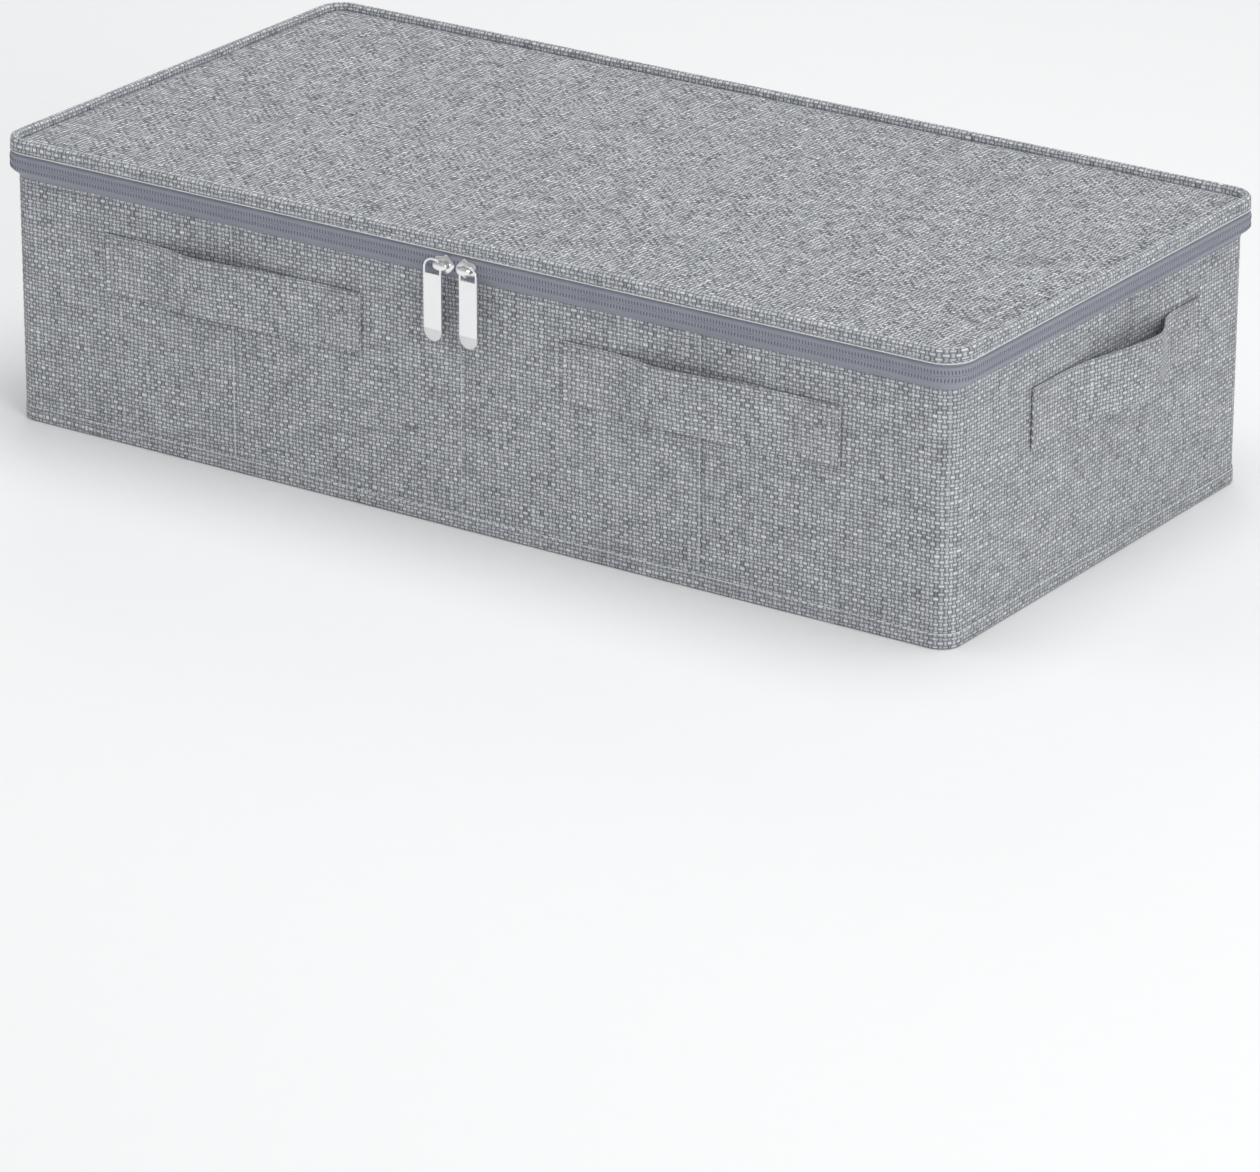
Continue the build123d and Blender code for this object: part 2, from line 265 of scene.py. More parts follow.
@dataclass(frozen=True)
class WovenCloth(Finish):
    """Plain weave of thick, uneven yarns, each of its own shade, with painted shade in the hollows between them.

    Attributes:
        shades: Dark, middle and light yarn.
        pitch: The distances from yarn to yarn, along the cloth and up it.
        depth: How deep the weave is.
        gap: How dark the painted shade in the hollows between the yarns is, from 0, black, to 1.
        streaks: How much each yarn's shade varies along it.
        flecks: How much it varies from crossing to crossing.
        contrast: How much lighter than the middle the level yarns are, and the upright ones darker.
        steep: How steeply a yarn falls away to its sides.
        round_end: How far it sinks before it passes under the next one.
        wander: How far the yarns shift to either side, in yarns.
        wander_scale: How many times per metre they do.
        along: How much slower that changes along a yarn than across it.
        streak_scale: How many times a yarn's shade changes from one crossing to the next.
    """

    shades: tuple[Colour, Colour, Colour]
    pitch: tuple[float, float] = (2.52 * MM, 2.28 * MM)
    depth: float = 0.30 * MM
    gap: float = 0.30
    streaks: float = 0.80
    flecks: float = 0.14
    contrast: float = 0.085
    steep: float = 2.6
    round_end: float = 0.22
    wander: float = 0.80
    wander_scale: float = 150.0
    along: float = 0.14
    streak_scale: float = 0.21

    def build(self) -> Material:
        """Builds the material.

        Returns:
            The material.
        """
        t = NodeTree(self.name, 0.86)
        place, run, rise = t.cloth_place()
        upright_place = t.point(run, t.sum("MULTIPLY", rise, self.along), 0.3)
        level_place = t.point(t.sum("MULTIPLY", run, self.along), rise, 2.7)
        far = 800.0  # keeps the count of yarns above zero
        counts = []
        for number, pitch, where in ((run, self.pitch[0], upright_place), (rise, self.pitch[1], level_place)):
            shift = t.sum("MULTIPLY_ADD", t.speckle(where, self.wander_scale), 2 * self.wander, -self.wander)
            counts.append(t.sum("ADD", t.sum("MULTIPLY_ADD", number, 1 / pitch, far), shift))
        u, v = counts
        column, line = t.sum("FLOOR", u), t.sum("FLOOR", v)
        beside, above = (
            t.sum("COSINE", t.sum("MULTIPLY", t.sum("SUBTRACT", t.sum("FRACT", count), 0.5), math.pi))
            for count in counts
        )
        over = t.sum("MODULO", t.sum("ADD", column, line), 2.0)
        flat = 1 - self.round_end
        upright, level = (
            t.sum(
                "MULTIPLY",
                t.sum("POWER", across, self.steep),
                t.sum("MULTIPLY_ADD", down, self.round_end, flat),
            )
            for across, down in ((beside, above), (above, beside))
        )
        height = t.choose(over, upright, level)
        apart = 3.7  # sets neighbouring yarns' shades apart
        end = t.point(t.sum("MULTIPLY", column, apart), t.sum("MULTIPLY", v, self.streak_scale), 1.0)
        pick = t.point(t.sum("MULTIPLY", u, self.streak_scale), t.sum("MULTIPLY", line, apart), 5.0)
        streak = t.choose(over, t.speckle(end, 1.0, 1.0), t.speckle(pick, 1.0, 1.0))
        fleck = t.node("ShaderNodeTexWhiteNoise", {0: t.point(column, line, 9.0)}).outputs["Value"]
        tone = t.sum("MULTIPLY_ADD", t.sum("SUBTRACT", streak, 0.5), self.streaks, 0.5)
        tone = t.sum("ADD", tone, t.sum("MULTIPLY_ADD", fleck, self.flecks, -self.flecks / 2))
        tone = t.sum("ADD", tone, t.choose(over, -self.contrast, self.contrast))
        dark, middle, light = self.shades
        yarns = t.ramp(tone, [(0.15, dark), (0.50, middle), (0.85, light)])
        # Painted shade: the colour darkens in the hollows between the yarns.
        hollow_shade = t.sum("MULTIPLY_ADD", height, 1.0 - self.gap, self.gap)
        patch = t.sum("MULTIPLY_ADD", t.speckle(place, 24.0, 3.0), 0.10, 0.95)
        shade = t.sum("MULTIPLY", hollow_shade, patch)
        t.give(Base_Color=t.tint(1.0, yarns, t.point(shade, shade, shade), "MULTIPLY"))
        fuzz = t.speckle(place, 2600.0, 2.0)
        t.relief(t.sum("MULTIPLY_ADD", fuzz, 0.18, height), self.depth, 0.85)
        t.give(Sheen_Weight=0.12, Sheen_Roughness=0.6, Specular_IOR_Level=0.2)
        return t.material


@dataclass(frozen=True)
class PressedFelt(Finish):
    """Thin pressed cloth: short fibres held by rows of small pressed dots.

    Attributes:
        fibre: The fibres' colour.
        dot: The pressed dots' colour.
        pitch: The distance between dots.
    """

    fibre: Colour
    dot: Colour
    pitch: float = 1.9 * MM

    def build(self) -> Material:
        """Builds the material.

        Returns:
            The material.
        """
        t = NodeTree(self.name, 0.9)
        place, run, rise = t.cloth_place()
        turned = (t.sum("ADD", run, rise), t.sum("SUBTRACT", run, rise))
        waves = [t.sum("SINE", t.sum("MULTIPLY", part, math.pi / self.pitch)) for part in turned]
        peak = t.sum("MULTIPLY", t.sum("ABSOLUTE", waves[0]), t.sum("ABSOLUTE", waves[1]))
        pressed = t.sum("SMOOTH_MIN", t.sum("MULTIPLY", t.sum("POWER", peak, 3.0), 1.6), 1.0, 0.2)
        fibres = t.speckle(place, 1500.0, 5.0)
        cloud = t.speckle(place, 35.0, 3.0)
        fibre_tone = t.tint(fibres, shaded(self.fibre, 0.84), shaded(self.fibre, 1.12))
        mottled = t.tint(t.sum("MULTIPLY", cloud, 0.3), fibre_tone, shaded(self.fibre, 0.8))
        t.give(Base_Color=t.tint(pressed, mottled, self.dot))
        t.relief(t.sum("MULTIPLY_ADD", pressed, -0.7, fibres), 0.12 * MM, 0.8)
        t.give(Specular_IOR_Level=0.25)
        return t.material


@dataclass(frozen=True)
class WovenTape(Finish):
    """Smooth, close tape with fine slanting ribs.

    Attributes:
        dark: The colour between the ribs.
        light: The ribs' colour.
        rib: The distance between ribs.
    """

    dark: Colour
    light: Colour
    rib: float = 0.62 * MM

    def build(self) -> Material:
        """Builds the material.

        Returns:
            The material.
        """
        t = NodeTree(self.name, 0.62)
        place, run, rise = t.cloth_place()
        bend = t.sum("PINGPONG", rise, 1.5 * MM)
        slant = t.sum("MULTIPLY_ADD", bend, 0.8, run)
        wave = t.sum("SINE", t.sum("MULTIPLY", slant, 2 * math.pi / self.rib))
        height = t.sum("MULTIPLY_ADD", wave, 0.5, 0.5)
        grain = t.speckle(place, 900.0, 3.0)
        share = t.sum("MULTIPLY_ADD", grain, 0.5, t.sum("MULTIPLY", height, 0.5))
        cloud = t.sum("MULTIPLY_ADD", t.speckle(place, 60.0, 2.0), 0.2, 0.9)
        colour = t.tint(1.0, t.tint(share, self.dark, self.light), t.point(cloud, cloud, cloud), "MULTIPLY")
        t.give(Base_Color=colour)
        t.relief(height, 0.08 * MM, 0.7)
        t.give(Sheen_Weight=0.15, Specular_IOR_Level=0.3)
        return t.material


@dataclass(frozen=True)
class TwistedThread(Finish):
    """Sewing thread, its two plies twisted round each other.

    Attributes:
        colour: The thread's colour.
        roughness: How matt it is.
    """

    colour: Colour
    roughness: float = 0.6

    def build(self) -> Material:
        """Builds the material.

        Returns:
            The material.
        """
        t = NodeTree(self.name, self.roughness)
        place = t.object_place()
        parts = t.node("ShaderNodeSeparateXYZ", {0: place})
        lean = t.sum("ADD", t.sum("ADD", parts.outputs[0], parts.outputs[1]), parts.outputs[2])
        twist = t.sum("MULTIPLY_ADD", t.sum("SINE", t.sum("MULTIPLY", lean, 9000.0)), 0.5, 0.5)
        shade = t.sum("MULTIPLY_ADD", t.speckle(place, 700.0), 0.7, t.sum("MULTIPLY", twist, 0.3))
        dark = shaded(self.colour, 0.62)
        light = shaded(self.colour, 1.25)
        t.give(Base_Color=t.tint(shade, dark, light))
        t.relief(twist, 0.05 * MM, 0.6)
        return t.material


@dataclass(frozen=True)
class GreyBoard(Finish):
    """Pulp board with short fibres and specks.

    Attributes:
        colour: The board's colour.
        speck: The specks' colour.
    """

    colour: Colour
    speck: Colour

    def build(self) -> Material:
        """Builds the material.

        Returns:
            The material.
        """
        t = NodeTree(self.name, 0.82)
        place = t.object_place()
        stretched = t.node("ShaderNodeMapping", {"Vector": place, "Scale": (0.25, 1.0, 1.0)}).outputs[0]
        fibres = t.speckle(stretched, 900.0, 6.0)
        specks = t.ramp(t.speckle(place, 420.0, 1.0), [(0.66, (0.0, 0.0, 0.0)), (0.72, (1.0, 1.0, 1.0))])
        base = t.tint(fibres, shaded(self.colour, 0.78), shaded(self.colour, 1.15))
        t.give(Base_Color=t.tint(specks, base, self.speck))
        t.relief(fibres, 0.08 * MM, 0.6)
        return t.material


@dataclass(frozen=True)
class PlatedMetal(Finish):
    """Bright plating over a cast body, with a faint cast grain and fine rubbing marks.

    Attributes:
        colour: The plating's colour.
        roughness: The polish of the smooth parts.
        grain: How rough the worn parts get beyond that.
    """

    colour: Colour
    roughness: float
    grain: float

    def build(self) -> Material:
        """Builds the material.

        Returns:
            The material.
        """
        t = NodeTree(self.name, self.roughness)
        place = t.object_place()
        cast = t.speckle(place, 1100.0, 3.0)
        drawn = t.node("ShaderNodeMapping", {"Vector": place, "Scale": (1.0, 1.0, 0.06)}).outputs[0]
        rubbed = t.speckle(drawn, 5200.0, 3.0)
        rough = t.sum("MULTIPLY_ADD", rubbed, self.grain, self.roughness)
        t.give(Roughness=rough)
        dull = shaded(self.colour, 0.86)
        t.give(Base_Color=t.tint(cast, dull, self.colour))
        t.give(Metallic=1.0)
        t.relief(t.sum("MULTIPLY_ADD", cast, 0.7, t.sum("MULTIPLY", rubbed, 0.3)), 0.02 * MM, 0.5)
        return t.material


@dataclass(frozen=True)
class MouldedNylon(Finish):
    """Nylon monofilament, slightly glossy.

    Attributes:
        colour: The nylon's colour.
    """

    colour: Colour

    def build(self) -> Material:
        """Builds the material.

        Returns:
            The material.
        """
        t = NodeTree(self.name, 0.36)
        place = t.object_place()
        cloud = t.speckle(place, 500.0, 2.0)
        dark = shaded(self.colour, 0.8)
        light = shaded(self.colour, 1.2)
        t.give(Base_Color=t.tint(cloud, dark, light))
        t.relief(t.speckle(place, 2500.0, 2.0), 0.03 * MM, 0.5)
        return t.material


@dataclass(frozen=True)
class StudioPaper(Finish):
    """The pale paper that the box stands on.

    Attributes:
        colour: The paper's colour.
    """

    colour: Colour

    def build(self) -> Material:
        """Builds the material.

        Returns:
            The material.
        """
        t = NodeTree(self.name, 0.95)
        grain = t.speckle(t.object_place(), 60.0, 4.0)
        t.give(Base_Color=t.tint(grain, shaded(self.colour, 0.985), self.colour))
        return t.material


class Finishes:
    """Every material of the box."""

    def __init__(self) -> None:
        """Builds them all."""
        yarns = ((0.250, 0.262, 0.283), (0.635, 0.658, 0.697), (0.960, 0.980, 1.000))
        self.cloth = WovenCloth("heathered_linen", yarns).build()
        # A darker, more contrasting copy of the cloth for the lid, with deeper hollows: painted shade against the
        # stronger light on the top.
        darker_lid_yarns = ((0.205, 0.215, 0.233), (0.625, 0.648, 0.688), (0.985, 0.995, 1.000))
        self.lid_cloth = WovenCloth("heathered_linen_lid", darker_lid_yarns, gap=0.16, streaks=1.15, flecks=0.26).build()
        self.lining = PressedFelt("grey_felt_lining", (0.36, 0.37, 0.385), (0.29, 0.30, 0.31)).build()
        self.tape = WovenTape("slate_zip_tape", (0.225, 0.240, 0.285), (0.360, 0.378, 0.440)).build()
        self.chain_stitch = TwistedThread("slate_chain_stitch", (0.135, 0.145, 0.185)).build()
        self.coil = MouldedNylon("slate_nylon_coil", (0.20, 0.215, 0.26)).build()
        self.pale_thread = TwistedThread("pale_grey_thread", (0.56, 0.57, 0.58)).build()
        # Pale strands raised along folds: their colour is painted highlight where the folds catch the light.
        self.fold = TwistedThread("pale_folded_yarn", (0.76, 0.77, 0.78), 0.8).build()
        self.warm_thread = TwistedThread("warm_grey_thread", (0.50, 0.445, 0.455)).build()
        self.board = GreyBoard("grey_pulp_board", (0.42, 0.35, 0.26), (0.16, 0.13, 0.10)).build()
        self.metal = PlatedMetal("bright_cast_plating", (0.98, 0.98, 0.98), 0.24, 0.10).build()
        self.pull_metal = PlatedMetal("bright_flat_plating", (0.99, 0.99, 0.99), 0.22, 0.08).build()
        # The tip's plating is rougher, and darker in colour as painted shade for the bevel's darker reflection.
        self.shaded_pull_tip = PlatedMetal("satin_tip_plating", (0.82, 0.82, 0.83), 0.34, 0.12).build()
        self.paper = StudioPaper("pale_studio_paper", (0.90, 0.90, 0.90)).build()


# --- shared making
@dataclass(frozen=True)
class Sizes:
    """The box's main sizes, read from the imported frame.

    Attributes:
        half_length: Half the box's length, at the walls' faces.
        half_depth: Half its depth, at the walls' faces.
        corner: The corners' radius.
        wall_top: The height of the walls.
        overhang: How far the lid's edge stands out of the walls.
        chain: The height of the zip's chain.
        tape_face: How far the tapes' faces stand out of the walls.
        skirt_foot: The height of the lid edge's foot.
        panel: The height of the lid's panel.
        rib_top: The height of the rib round it.
    """

    half_length: float
    half_depth: float
    corner: float
    wall_top: float
    overhang: float
    chain: float
    tape_face: float
    skirt_foot: float
    panel: float
    rib_top: float

    @classmethod
    def from_frame(cls) -> "Sizes":
        """Reads them.

        Returns:
            The sizes, in metres.
        """
        right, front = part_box("right_cover"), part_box("front_cover")
        skirt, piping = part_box("lid_skirt"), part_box("lid_piping")
        lower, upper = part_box("zipper_tape_lower"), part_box("zipper_tape_upper")
        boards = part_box("right_board")
        half_depth = -front[0].y
        return cls(
            half_length=right[1].x,
            half_depth=half_depth,
            corner=half_depth - boards[1].y - 0.5 * MM,
            wall_top=front[1].z,
            overhang=skirt[1].x - right[1].x,
            chain=(lower[1].z + upper[0].z) / 2,
            tape_face=lower[1].x - right[1].x,
            skirt_foot=skirt[0].z,
            panel=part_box("lid_cover")[1].z,
            rib_top=piping[1].z,
        )

    def reach(self, side: Side) -> float:
        """How far a wall's face is from the box's middle."""
        return self.half_depth if side in (Side.FRONT, Side.BACK) else self.half_length


@dataclass
class Station:
    """A place on the outline.

    Attributes:
        foot: Its point on the wall's face, at the floor.
        out: The outward direction there.
        run: Its distance round the box from the middle of the back.
    """

    foot: Vector
    out: Vector
    run: float


def new_piece(bm: bmesh.types.BMesh, name: str, material: Material, angle: float = 40.0) -> bpy.types.Object:
    """Makes a smooth shaded object from a mesh being built, and frees it.

    Args:
        bm: The mesh being built.
        name: The object's name.
        material: Its material.
        angle: Edges sharper than this many degrees stay sharp.

    Returns:
        The object, at the origin.
    """
    mesh = bpy.data.meshes.new(name)
    bm.to_mesh(mesh)
    bm.free()
    mesh.shade_smooth()
    mesh.set_sharp_from_angle(angle=math.radians(angle))
    mesh.materials.append(material)
    made = bpy.data.objects.new(name, mesh)
    bpy.context.scene.collection.objects.link(made)
    return made


def place_piece(
    piece: bpy.types.Object, body: str, replaced: Iterable[str] = ()
) -> bpy.types.Object:
    """Puts a piece on its body and hides what it stands for.

    Args:
        piece: The finished piece.
        body: The body that it moves with.
        replaced: The nodes that it stands for.

    Returns:
        The piece.
    """
    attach(piece, body)
    names = list(replaced)
    if names:
        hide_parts(*names)
    log.info("%s: %d faces on %s", piece.name, len(piece.data.polygons), body)
    return piece


def round_edges(
    bm: bmesh.types.BMesh,
    edges: Iterable[bmesh.types.BMEdge],
    offset: float,
    segments: int = 3,
    clamp: bool = False,
) -> None:
    """Rounds edges of a mesh being built, over `offset` to either side and in so many `segments`."""
    kind = {"affect": "EDGES", "profile": 0.5, "material": -1, "clamp_overlap": clamp}
    bmesh.ops.bevel(bm, geom=list(edges), offset=offset, segments=segments, **kind)


def face_out(bm: bmesh.types.BMesh) -> None:
    """Turns every face of a mesh being built outward."""
    bmesh.ops.recalc_face_normals(bm, faces=bm.faces[:])


def corners(out: float, height: float, steps: Iterable[tuple[float, float]]) -> Section:
    """A strip's corners, in metres, from their steps out and up from one place, in millimetres."""
    return [(out + x * MM, height + z * MM) for x, z in steps]


def bell(distance: float, width: float) -> float:
    """A smooth fall from 1 at no distance to nearly 0 at twice the width."""
    return math.exp(-((distance / width) ** 2))


def ripple(point: Vector, size: float, height: float) -> float:
    """A soft, fixed unevenness: `size` is its spacing and `height` how far it goes either way."""
    return height * noise.noise(point / size)


class Outline:
    """The rounded rectangle of the box's walls, seen from above."""

    def __init__(self, sizes: Sizes) -> None:
        """Keeps the box's sizes and works out where its straight walls end."""
        self.sizes = sizes
        self.inner = (sizes.half_length - sizes.corner, sizes.half_depth - sizes.corner)

    def stations(self, pitch: float, seams: Sequence[float] = (), fine: Sequence[float] = ()) -> list[Station]:
        """Walks round the outline from the middle of the back, past the left end to the front.

        Args:
            pitch: The spacing on the straight walls.
            seams: Places along X that get extra stations beside them.
            fine: How far from each seam those are.

        Returns:
            The stations, each once.
        """
        s = self.sizes
        bm = bmesh.new()
        square = [(s.half_length, s.half_depth), (-s.half_length, s.half_depth)]
        square += [(-x, -y) for x, y in square]
        bm.faces.new([bm.verts.new((x, y, 0.0)) for x, y in square])
        kind = {"offset_type": "OFFSET", "affect": "VERTICES", "profile": 0.5, "material": -1}
        bmesh.ops.bevel(bm, geom=bm.verts[:], offset=s.corner, segments=12, **kind)
        bmesh.ops.delete(bm, geom=bm.faces[:], context="FACES_ONLY")
        cuts = [(Vector((1, 0, 0)), x) for x in self._spread(self.inner[0], pitch, seams, fine)]
        cuts += [(Vector((0, 1, 0)), y) for y in self._spread(self.inner[1], pitch, (), ())]
        for normal, place in cuts:
            bmesh.ops.bisect_plane(bm, geom=bm.edges[:] + bm.verts[:], plane_co=normal * place, plane_no=normal)
        return self._walk(bm)

    def _spread(self, reach: float, pitch: float, seams: Sequence[float], fine: Sequence[float]) -> list[float]:
        """Even places from -reach to reach, with extra ones beside seams.

        Args:
            reach: Where the places end.
            pitch: Their spacing.
            seams: The seams' places.
            fine: How far from each seam the extra ones are.

        Returns:
            The places, in order.
        """
        count = 2 * round(reach / pitch)
        clear = max(fine, default=0.0) + 0.3 * pitch
        even = [reach * (2 * k / count - 1) for k in range(1, count)]
        kept = [x for x in even if all(abs(x - seam) > clear for seam in seams)]
        beside = [seam + sign * gap for seam in seams for gap in fine for sign in (-1, 1)]
        return sorted(set(kept + list(seams) + beside + [0.0]))

    def _walk(self, bm: bmesh.types.BMesh) -> list[Station]:
        """Reads the loop of edges in order.

        Args:
            bm: The outline as a loop of edges. It is freed.

        Returns:
            The loop's stations.
        """
        start = min(bm.verts, key=lambda v: (v.co - Vector((0.0, self.sizes.half_depth, 0.0))).length)
        ahead = min((e.other_vert(start) for e in start.link_edges), key=lambda v: v.co.x)
        order, before, here = [start], start, ahead
        while here is not start:
            order.append(here)
            beyond = [edge.other_vert(here) for edge in here.link_edges]
            before, here = here, next(vert for vert in beyond if vert is not before)
        made, run = [], 0.0
        for index, vert in enumerate(order):
            if index:
                run += (vert.co - order[index - 1].co).length
            point = vert.co.copy()
            centre = Vector([max(-lim, min(lim, value)) for lim, value in zip(self.inner, point)] + [0.0])
            made.append(Station(point, (point - centre).normalized(), run))
        bm.free()
        return made

    @property
    def length(self) -> float:
        """The whole distance round the outline."""
        return 4 * sum(self.inner) + 2 * math.pi * self.sizes.corner

    def zip_run(self, stations: Sequence[Station]) -> list[Station]:
        """The stations from one end of the back, round the front, to the other end of the back.

        Args:
            stations: All the stations, in order.

        Returns:
            Those that the zip runs past.
        """
        edge = self.inner[0] + 1e-6
        first = next(i for i, st in enumerate(stations) if st.foot.x < -edge + 2e-6)
        last = max(i for i, st in enumerate(stations) if st.foot.x > edge - 2e-6)
        return list(stations[first : last + 1])


@dataclass
class Band:
    """A closed strip of cloth, tape or board that follows the outline.

    Attributes:
        stations: Where it is built, in order.
        section: The corners of its section, as (out, height).
        length: The whole outline's length.
        ring: True if it goes all the way round.
        nudge: Gives how far a corner of the section moves out at a station.
    """

    stations: Sequence[Station]
    section: Sequence[tuple[float, float]]
    length: float
    ring: bool = True
    nudge: Callable[[Station, float, float], float] | None = None

    def _place(self, index: int, row: int) -> Vector:
        """A corner's place.

        Args:
            index: The number of its station.
            row: Its number in the section.

        Returns:
            Its place in the box's axes.
        """
        st, (out, height) = self.stations[index], self.section[row]
        if self.nudge:
            out += self.nudge(st, out, height)
        return st.foot + st.out * out + UP * height

    def build(self) -> bmesh.types.BMesh:
        """Extrudes the outline from corner to corner of the section, then closes it.

        Returns:
            The strip, with its distances as the UV map.
        """
        bm = bmesh.new()
        at, across = bm.verts.layers.int.new("station"), bm.verts.layers.int.new("row")
        first = []
        for index in range(len(self.stations)):
            vert = bm.verts.new(self._place(index, 0))
            vert[at] = index
            first.append(vert)
        pairs = list(zip(first, first[1:])) + ([(first[-1], first[0])] if self.ring else [])
        start = edges = [bm.edges.new(pair) for pair in pairs]
        for row in range(1, len(self.section)):
            made = bmesh.ops.extrude_edge_only(bm, edges=edges)["geom"]
            for vert in (v for v in made if isinstance(v, bmesh.types.BMVert)):
                vert[across] = row
                vert.co = self._place(vert[at], row)
            edges = [
                e for e in made if isinstance(e, bmesh.types.BMEdge) and all(v[across] == row for v in e.verts)
            ]
        bmesh.ops.bridge_loops(bm, edges=start + edges)
        if not self.ring:
            bmesh.ops.holes_fill(bm, edges=[e for e in bm.edges if e.is_boundary], sides=0)
        face_out(bm)
        self._lay_cloth(bm, at, across)
        return bm

    def _lay_cloth(self, bm: bmesh.types.BMesh, at: object, across: object) -> None:
        """Writes the run and the distance across the section as the UV map.

        Args:
            bm: The strip being built.
            at: The layer with each corner's station.
            across: The layer with its number in the section.
        """
        rises = [0.0]
        for before, after in zip(self.section, list(self.section[1:]) + [self.section[0]]):
            rises.append(rises[-1] + math.dist(before, after))
        uv = bm.loops.layers.uv.new("cloth")
        for face in bm.faces:
            runs = [self.stations[loop.vert[at]].run for loop in face.loops]
            climbs = [rises[loop.vert[across]] for loop in face.loops]
            wrapped = max(runs) - min(runs) > self.length / 2
            rows = {loop.vert[across] for loop in face.loops}
            closing = len(self.section) > 3 and {0, len(self.section) - 1} <= rows
            for loop, run, climb in zip(face.loops, runs, climbs):
                run += self.length if wrapped and run < self.length / 2 else 0.0
                climb = rises[-1] if closing and climb == 0.0 else climb
                loop[uv].uv = (run, climb)


@dataclass
class Slab:
    """A flat, rounded sheet with a little unevenness.

    Attributes:
        half: Half its length and half its depth.
        radius: Its corner radius.
        low: The height of its underside.
        high: The height of its upper side.
        pitch: The spacing of its mesh.
        lift: Gives how far a point of the upper side rises.
        drop: Gives how far a point of the underside rises.
    """

    half: tuple[float, float]
    radius: float
    low: float
    high: float
    pitch: float
    lift: Callable[[float, float], float] | None = None
    drop: Callable[[float, float], float] | None = None

    def build(self) -> bmesh.types.BMesh:
        """Builds the sheet.

        Returns:
            The sheet, with its X and Y as the UV map.
        """
        bm = bmesh.new()
        counts = [max(2, round(2 * reach / self.pitch)) for reach in self.half]
        bmesh.ops.create_grid(bm, x_segments=counts[0], y_segments=counts[1], size=1.0)
        bmesh.ops.scale(bm, vec=(*self.half, 1.0), verts=bm.verts[:])
        inner = [reach - self.radius for reach in self.half]
        for vert in bm.verts:
            centre = Vector([max(-lim, min(lim, value)) for lim, value in zip(inner, vert.co)] + [0.0])
            reach = vert.co - centre
            if reach.length > self.radius:
                vert.co = centre + reach.normalized() * self.radius
        top = bmesh.ops.extrude_face_region(bm, geom=bm.faces[:])["geom"]
        upper = {v for v in top if isinstance(v, bmesh.types.BMVert)}
        for vert in bm.verts:
            shape = self.lift if vert in upper else self.drop
            flat = self.high if vert in upper else self.low
            vert.co.z = flat + (shape(vert.co.x, vert.co.y) if shape else 0.0)
        face_out(bm)
        lay_flat(bm)
        return bm


def lay_flat(bm: bmesh.types.BMesh) -> None:
    """Writes X and Y as the UV map, with the height added at upright faces so that they aren't smeared.

    Args:
        bm: The sheet being built.
    """
    uv = bm.loops.layers.uv.new("cloth")
    for face in bm.faces:
        upright = abs(face.normal.z) < 0.5
        for loop in face.loops:
            co = loop.vert.co
            ahead = co.x if not upright or abs(face.normal.y) > abs(face.normal.x) else co.y
            loop[uv].uv = (ahead, co.z if upright else co.y)


@dataclass(frozen=True)
class Stitch:
    """One kind of stitch.

    Attributes:
        pitch: The spacing along a row, in millimetres.
        half: Half its size along the row, across it and outward, in millimetres.
        tilt: How far it leans from the row, in degrees.
    """

    pitch: float
    half: tuple[float, float, float]
    tilt: float = 0.0


